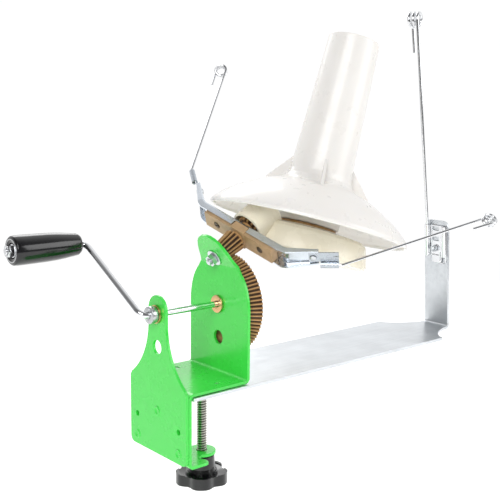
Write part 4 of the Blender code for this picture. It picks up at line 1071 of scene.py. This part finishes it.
def wire_clips(side, tag):
    """Riveted plate with one edge rolled round the wire, and the wire out to its eyelet."""
    place = clip_frame(side, 0.0)
    low, sheet, wire = 2.3, 1.3, 1.25
    reach = (TONGUE_TIP - ARM_TIP).length
    mid = low + sheet / 2
    roll = wire + 0.25 + sheet / 2
    hinge = (-8.0, mid + roll)
    midline = [(6.6, mid), (0, mid)] + arc(hinge, roll, -90, -375, 28)
    section = strip_section(midline, sheet)
    body = loft([[(x, y, z) for y, z in section] for x in (-9.0, reach)])
    obj = piece(f"rolled_clip_{tag}", body, "satin_zinc", "flyer", place, [f"wire_clip_{tag}"])
    cut(obj, box((-12, -12, low - 1), (1.5, -5.2, low + 8)), place)
    cut(obj, peg(2.0, -2, 8, 24), place @ shift(-5, 0, 0))
    cut(obj, box((reach - 4.5, 1.4, low - 2), (reach + 2, 2.6, low + 3)), place)
    ease_edges(obj, 0.22)
    dimple = lathe([(0, low - 1.0), (1.4, low - 0.9), (2.6, low - 0.45), (3.6, low + 0.02),
                    (3.6, low + 0.3), (0, low + 0.3)], 40)
    piece(f"clip_dimple_{tag}", dimple, "satin_zinc", "flyer", place @ shift(6.5, 0.6, 0))
    rivet = [(0, -1.7), (1.6, -1.5), (2.7, -0.9), (3.2, -GAP), (1.7, -GAP), (1.7, 4.0), (3.2, 4.0),
             (2.9, 4.7), (1.8, 5.3), (0, 5.5)]
    piece(f"arm_rivet_{tag}", turned(rivet, 0.2, 48), "zinc", "flyer", clip_frame(side, 5.0),
          [f"clip_rivet_{tag}"])
    turn = Matrix.Identity(4) if side > 0 else about_z(math.pi)
    eye = FLYER @ turn @ EYES[tag]
    start = place @ Vector((4.0, hinge[0], hinge[1]))
    mouth = place @ Vector((reach + 2.5, hinge[0], hinge[1]))
    axis = FLYER.to_3x3() @ turn.to_3x3() @ FLYER.to_3x3().transposed() @ EYE_AXIS
    route = eyelet(start, mouth, eye, axis, 5.8, -3.2, 22.0, 3.0)
    piece(f"wire_arm_{tag}", tube_along(route, wire, 20), "chrome", "flyer", nodes=[f"flyer_wire_{tag}"])


def eyelet(start, mouth, eye, axis, radius, pitch, tail, bend):
    """Route of a wire: out of its barrel, a bend, a straight run, two and a half turns and a tail."""
    run = (eye - mouth).normalized()
    first = eye - axis.normalized() * pitch * EYE_TURNS / 2
    coil = helix(first, axis, run.cross(axis), radius, pitch, EYE_TURNS, 36)
    straight = [mouth + (coil[0] - mouth) * k / 6 for k in range(1, 6)]
    away = [coil[-1] - run * tail * share for share in (0.5, 1.0)]
    return smooth_corners([start, mouth] + straight[:1], bend, 8) + straight[1:] + coil + away


# ================================ case and cone =============================================
def case():
    profile = [(0, -33.0), (64.5, -33.0), (66.5, -31.0), (61.8, -11.5), (59.0, -8.5), (31.0, -4.5),
               (31.0, -6.5), (57.8, -10.4), (60.0, -12.5), (64.2, -30.0), (63.0, -31.0), (0, -31.0)]
    obj = piece("case_shell", turned(profile, 1.2, 128), "cream", "frame", CONE, ["gear_case"])
    join(obj, turned_peg(17.5, 131, 161, 0.8, 96), AXLE)
    cavity = [(0, -30.9), (63.0, -30.9), (64.0, -30.0), (59.8, -12.6), (57.6, -10.5), (31.0, -6.6),
              (31.0, 3), (0, 3)]
    cut(obj, turned(cavity, 0.8, 128), CONE)
    cut(obj, peg(15.3, 125, 158.6, 96), AXLE)
    cut(obj, peg(4.4, 150, 170, 48), AXLE)
    join(obj, turned_peg(9.0, -32, -23, 0.5, 64), CONE)
    cut(obj, peg(4.4, -40, -20, 48), CONE)
    ease_edges(obj, 0.25, segments=2)


def cone():
    crown = [(26.2, TUBE_TOP), (31.0, 57.0), (31.9, 50), (33.2, 45.2), (36.0, 41.0), (40.2, 38.2),
             (44.6, 36.6), (50.0, 34.7), (56.0, 32.2), (62.0, 29.2), (68.0, 26.0), (74.0, 22.4),
             (80.0, 18.7), (85.0, 15.3), (90.0, 11.5), (94.0, 7.9), (97.4, 4.3), (99.6, 1.4),
             (100.4, -0.6), (100.4, -2.9)]
    under = [(98.0, -3.3), (97.2, -0.2), (93.0, 5.4), (86.6, 10.8), (76.8, 17.6), (65.0, 24.6),
             (53.2, 30.4), (43.4, 34.2), (31.0, 36.0), (31.0, -1.7), (4.4, -1.7), (4.4, 12.0),
             (10.0, 12.0), (10.0, 6.5), (26.0, 6.5), (28.4, 50.0), (23.7, TUBE_TOP)]
    profile = crown + under
    bm = lathe(rounded(profile, 0.9, 3), 160, closed=True)
    obj = piece("cone_moulding", bm, "ivory", "cone", CONE, ["winding_cone"], angle=40)
    for index in range(4):
        turn = about_z(math.radians(230 + 90 * index))
        fin = prism([(28.5, 62.0), (30.8, 62.0), (52.0, 37.0), (53.5, 32.5), (33.0, 33.5)], -1.35, 1.35)
        join(obj, fin, CONE @ turn @ Matrix.Rotation(math.pi / 2, 4, "X"))
    ease_edges(obj, 0.5, 38, 2)
    for index in range(3):
        angle = 2 * math.pi * index / 3 + 0.5
        spot = CONE @ shift(25.5 * math.cos(angle), 25.5 * math.sin(angle), 0)
        name = f"cone_screw_{index + 1}"
        slot_screw(f"gear_screw_{index + 1}", name, "cone", spot, -19.3, -16.8, 3.0, 4.0)


# ================================ tail strip and guide ======================================
def tail_sheet():
    mid_x = UPRIGHT_X - SHEET / 2
    tip = (mid_x - 170 * math.sin(UPRIGHT_LEAN), STRIP_MID + 170 * math.cos(UPRIGHT_LEAN))
    path = FoldedPath([(0, STRIP_MID), (mid_x, STRIP_MID), tip], 3.4)
    half = [(STRIP_HALF, 2 * SHEET + 2 * GAP), (STRIP_HALF, SHOULDER_X - 2), (STRIP_HALF - 1.2, SHOULDER_X)]
    half += [(45.0, SHOULDER_X + 0.6), (41.5, SHOULDER_X + 1.6), (37.4, SHOULDER_X + 4.2),
             (33.0, SHOULDER_X + 8.4), (28.6, SHOULDER_X + 14.0), (24.6, SHOULDER_X + 21.0),
             (20.8, SHOULDER_X + 29.5), (17.6, SHOULDER_X + 38)]
    top = path.starts[1] + UPRIGHT_TOP - STRIP_MID
    half += [(UPRIGHT_HALF, path.starts[1] + 6)] + arc((UPRIGHT_HALF - 8, top - 8), 8, 0, 90, 8)
    holes = [circle((side * STRIP_SCREW[1], STRIP_SCREW[0]), 2.7, 24) for side in (-1, 1)]
    holes.append(circle((0, path.starts[1] + GUIDE_SCREW_Z - STRIP_MID), 2.4, 24))
    bm = folded_sheet(mirrored(half), holes, path, SHEET)
    strip = piece("tail_sheet", bm, "zinc", "frame", nodes=["tail_strip"])
    for side in (-1, 1):
        low = STRIP_MID - SHEET / 2
        sink = lathe([(0, low - 1), (5.9, low - 1), (5.2, low), (2.6, low + 2.6), (0, low + 2.6)], 40)
        cut(strip, sink, shift(STRIP_SCREW[0], side * STRIP_SCREW[1], 0))
    ease_edges(strip, 0.35)
    for index, side in enumerate((-1, 1)):
        place = shift(STRIP_SCREW[0], side * STRIP_SCREW[1], 0)
        low = STRIP_MID - SHEET / 2
        profile = [(0, low + 0.35), (4.7, low + 0.35), (2.2, low + 2.8), (2.2, PLATFORM_TOP - 0.8),
                   (0, PLATFORM_TOP - 0.8)]
        screw = piece(f"flat_head_{index + 1}", turned(profile, 0.2, 48), "zinc", "frame", place,
                      [f"strip_screw_{index + 1}"])
        for angle in (0.4, 0.4 + math.pi / 2):
            cut(screw, box((-2.6, -0.45, low - 1), (2.6, 0.45, low + 1.5)), place @ about_z(angle))


def guide():
    """Clip with both edges rolled, its screw and nut, and the yarn guide wire."""
    sheet, roll = 1.4, 2.55
    face = FACE_X - sheet / 2
    near = arc((face - roll, GUIDE_Y), roll, 0, 300, 26)
    far = arc((face - roll, OPEN_Y), roll, 0, -300, 26)
    midline = [tuple(p) for p in far[::-1]] + [(face, -6.0), (face, 6.0)] + near
    outline = strip_section(midline, sheet)
    clip = piece("rolled_guide_clip", prism(outline, 14.5, 49.5), "chrome", "frame", LEAN, ["guide_clip"])
    for low, high in ((31.5, 36.5), (43.5, 48.0)):
        window = rounded([(-5.5, low), (4.5, low), (4.5, high), (-5.5, high)], 1.2, 4)
        cut(clip, prism(window, FACE_X - 3, FACE_X + 1), LEAN @ SHAFT)
    cut(clip, peg(2.3, -6, 6, 32), LEAN @ shift(FACE_X, 0, GUIDE_SCREW_Z) @ AROUND_Y)
    ease_edges(clip, 0.25)
    tongue = rounded([(-9.0, 6.5), (4.5, 6.5), (4.5, 16.5), (-9.0, 16.5)], 1.2, 4)
    piece("clip_lower_lip", prism(tongue, face - 0.7, face + 0.65),
          "chrome", "frame", LEAN @ SHAFT, bevel=0.3)
    bend = arc((-13.0, 11.5), 4.0, 0, -180, 18)
    loop = [Vector((face - roll - 1, y, z)) for y, z in [(-9.0, 20.0)] + bend + [(-17.0, 18.0)]]
    piece("clip_spring_loop", tube_along(loop, 0.9, 16), "chrome", "frame", LEAN)
    place = LEAN @ shift(FACE_X, 0, GUIDE_SCREW_Z) @ Matrix.Rotation(-math.pi / 2, 4, "Y")
    back = -SHEET - 2 * GAP
    head = [(0, back - 2.6), (2.2, back - 2.45), (3.5, back - 1.7), (4.0, back - 0.6), (4.0, back),
            (2.0, back), (2.0, 5.0), (0, 5.0)]
    screw = piece("guide_bolt", turned(head, 0.25, 48), "zinc", "frame", place, ["guide_screw"])
    for angle in (0.0, math.pi / 2):
        cut(screw, box((-2.0, -0.4, back - 4), (2.0, 0.4, back - 1.2)), place @ about_z(angle))
    piece("guide_bolt_thread", thread(2.0, 0.7, 1.0, 7.8, 0.3), "zinc", "frame", place)
    piece("guide_hex_nut", hex_nut(7, 1.8, 5.4, 2.05), "zinc", "frame", place, ["guide_nut"], angle=40)
    x = FACE_X - 3.25
    mouth = LEAN @ Vector((x, GUIDE_Y, 50.0))
    route = eyelet(LEAN @ Vector((x, GUIDE_Y, 13.0)),
                   mouth, GUIDE_EYE, GUIDE_EYE_AXIS, 7.6, 5.0, 36.0, 12.0)
    piece("yarn_guide_wire", tube_along(route, 1.75, 24), "chrome", "yarn_guide", nodes=["guide_wire"])


# ================================ clamp =====================================================
def clamp():
    place = Matrix.Translation((*SCREW, 0))
    lip_low = PLATE_FOOT - SHEET
    face = STRIP_MID - SHEET / 2
    top = face - PAD_GAP
    foot = top - PAD_THICK
    pad = [(0, foot), (7.0, foot), (8.0, foot + 1), (8.0, top - 0.8), (7.2, top), (0, top)]
    piece("swivel_pad", turned(pad, 0.3), "zinc", "clamp_foot", place, ["clamp_pad"])
    piece("clamp_thread", thread(CLAMP, CLAMP_PITCH, lip_low - 20.0, foot - 0.4, 0.8, 36),
          "thread", "clamp_spindle", place, ["clamp_screw"])
    base = lip_low - 27.0
    outline = []
    for i in range(KNOB_LOBES * 24):
        angle = 2 * math.pi * i / (KNOB_LOBES * 24)
        reach = 24.2 - 4.2 * (0.5 - 0.5 * math.cos(KNOB_LOBES * angle)) ** 2
        outline.append((reach * math.cos(angle + KNOB_TURN), reach * math.sin(angle + KNOB_TURN)))
    knob = piece("lobed_knob", prism(outline, base, base + 10.5), "black", "clamp_spindle", place,
                 ["clamp_knob"])
    dish = [(0, base - 1), (17.0, base - 1), (16.0, base + 1.2), (0, base + 1.6)]
    cut(knob, turned(dish, 0.6, 64), place)
    hollow = lathe([(14.5, base + 8.6), (21.0, base + 9.6), (21.0, base + 14), (14.5, base + 14)],
                   64, closed=True)
    cut(knob, hollow, place)
    ease_edges(knob, 1.0, 40, 3)
    boss = [(CLAMP + 0.35, base + 5), (13.0, base + 5), (13.5, base + 11), (12.4, base + 14),
            (11.8, lip_low - 1.6), (10.8, lip_low - 0.6), (CLAMP + 0.35, lip_low - 0.6)]
    piece("knob_hub", ring(boss, 0.6), "black", "clamp_spindle", place)


# ================================ stage =====================================================
BACKDROP = (0.64, 0.77, 0.05)       # direction of the bright backdrop
FLOOR_RADIUS = 1.3                  # metres
FLOOR_GAP = 0.0005                  # metres under the knob's lowest place
CLAMP_TRAVEL = 0.0401               # the knob's drop when the clamp is fully open, metres
ROOM, BACKDROP_LIGHT = 0.2, 1.02    # brightness opposite the backdrop and on it
FADE = (-0.25, 0.6)                 # cosines to the backdrop between which the one turns into the other
CAMERA_TURN = (49.97, 9.29, -0.62)  # yaw, pitch and roll in degrees
CAMERA_PLACE = (-444.5, -656.5, 187.3)
CAMERA_LENS = 65.8
LAMP_TARGET = (0.05, 0, 0.1)
LAMPS = (                           # name, place, size and power
    ("key", (-1.6, -1.2, 1.3), (1.4, 1.4), 33),
    ("fill", (1.2, -1.4, 0.8), (1.2, 1.2), 13),
    ("back", (0.6, 1.8, 1.4), (1.6, 1.0), 14),
)


def stage():
    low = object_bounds()[0].z - CLAMP_TRAVEL - FLOOR_GAP
    bm = bmesh.new()
    bm.faces.new([bm.verts.new((x, y, low)) for x, y in circle((0, 0), FLOOR_RADIUS, 128)])
    mesh = bpy.data.meshes.new("floor")
    bm.to_mesh(mesh)
    bm.free()
    floor = bpy.data.objects.new("floor", mesh)
    bpy.context.scene.collection.objects.link(floor)
    mat, node = shader("pale_floor", (0.93, 0.93, 0.925), 0.55, 0.0, emission_strength=0.35)
    node.inputs["Emission Color"].default_value = (1.0, 1.0, 1.0, 1)
    mat.node_tree.links.new(ramp(mat, noise(mat, 6), 0.5, 0.62), node.inputs["Roughness"])
    mesh.materials.append(mat)
    floor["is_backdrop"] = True
    world = bpy.data.worlds.new("studio")
    world.use_nodes = True
    nodes, links = world.node_tree.nodes, world.node_tree.links
    nodes["Background"].inputs["Color"].default_value = (1.0, 1.0, 1.0, 1)
    direction = nodes.new("ShaderNodeTexCoord")
    towards_backdrop = nodes.new("ShaderNodeVectorMath")
    towards_backdrop.operation = "DOT_PRODUCT"
    towards_backdrop.inputs[1].default_value = BACKDROP
    links.new(direction.outputs["Generated"], towards_backdrop.inputs[0])
    shade = nodes.new("ShaderNodeMapRange")
    shade.interpolation_type = "SMOOTHSTEP"
    for socket, value in zip(("From Min", "From Max", "To Min", "To Max"), (*FADE, ROOM, BACKDROP_LIGHT)):
        shade.inputs[socket].default_value = value
    links.new(towards_backdrop.outputs["Value"], shade.inputs["Value"])
    links.new(shade.outputs["Result"], nodes["Background"].inputs["Strength"])
    bpy.context.scene.world = world


def lamp(name, place, size, power):
    data = bpy.data.lights.new(name, "AREA")
    data.shape = "RECTANGLE"
    data.size, data.size_y = size
    data.energy = power
    obj = bpy.data.objects.new(name, data)
    bpy.context.scene.collection.objects.link(obj)
    obj.location = place
    obj.rotation_euler = (Vector(LAMP_TARGET) - Vector(place)).to_track_quat("-Z", "Y").to_euler()


def camera():
    """Camera a little above the winder, on the crank's side."""
    yaw, pitch, roll = (math.radians(angle) for angle in CAMERA_TURN)
    level = Vector((math.cos(yaw), math.sin(yaw), 0))
    right = Vector((math.sin(yaw), -math.cos(yaw), 0))
    up = Vector((0, 0, 1))
    forward = level * math.cos(pitch) - up * math.sin(pitch)
    down = -up * math.cos(pitch) - level * math.sin(pitch)
    cos, sin = math.cos(roll), math.sin(roll)
    right, down = right * cos + down * sin, down * cos - right * sin
    data = bpy.data.cameras.new("camera")
    data.sensor_width = 36.0
    data.lens = CAMERA_LENS
    data.clip_start = 0.02
    obj = bpy.data.objects.new("camera", data)
    bpy.context.scene.collection.objects.link(obj)
    obj.matrix_world = axes(right, -down, -forward, SHAFT_POINT + Vector(CAMERA_PLACE) * MM)
    bpy.context.scene.camera = obj


def main():
    front_plate()
    bracket_sheet()
    bearing("front_bush", "front_bushing", 0.0, SHEET + 1.5)
    bearing("rear_bush", "rear_bushing", REAR_X, REAR_X + SHEET + 1.5)
    crank()
    grip()
    drive_wheel()
    flyer_hub()
    axle_parts()
    for side, tag in ((1, "near"), (-1, "far")):
        spot = FLYER @ shift(side * BAR_SCREW_X, 0, 0) @ about_z(0.5 * side)
        # the crossbar screws take the dark steel, a painted shadow of their counterbores
        slot_screw(f"bar_screw_{tag}", f"flyer_screw_{tag}", "flyer", spot, BAR_S - 0.6, BAR_S + 1.3,
                   3.3, CHANNEL_S + 1.4, "screw_painted_shadow")
        wire_clips(side, tag)
    channel()
    case()
    cone_wheel()
    cone()
    tail_sheet()
    guide()
    clamp()
    stage()
    camera()
    for name, place, size, power in LAMPS:
        lamp(name, place, size, power)
    bpy.context.scene.view_settings.view_transform = "Standard"


main()
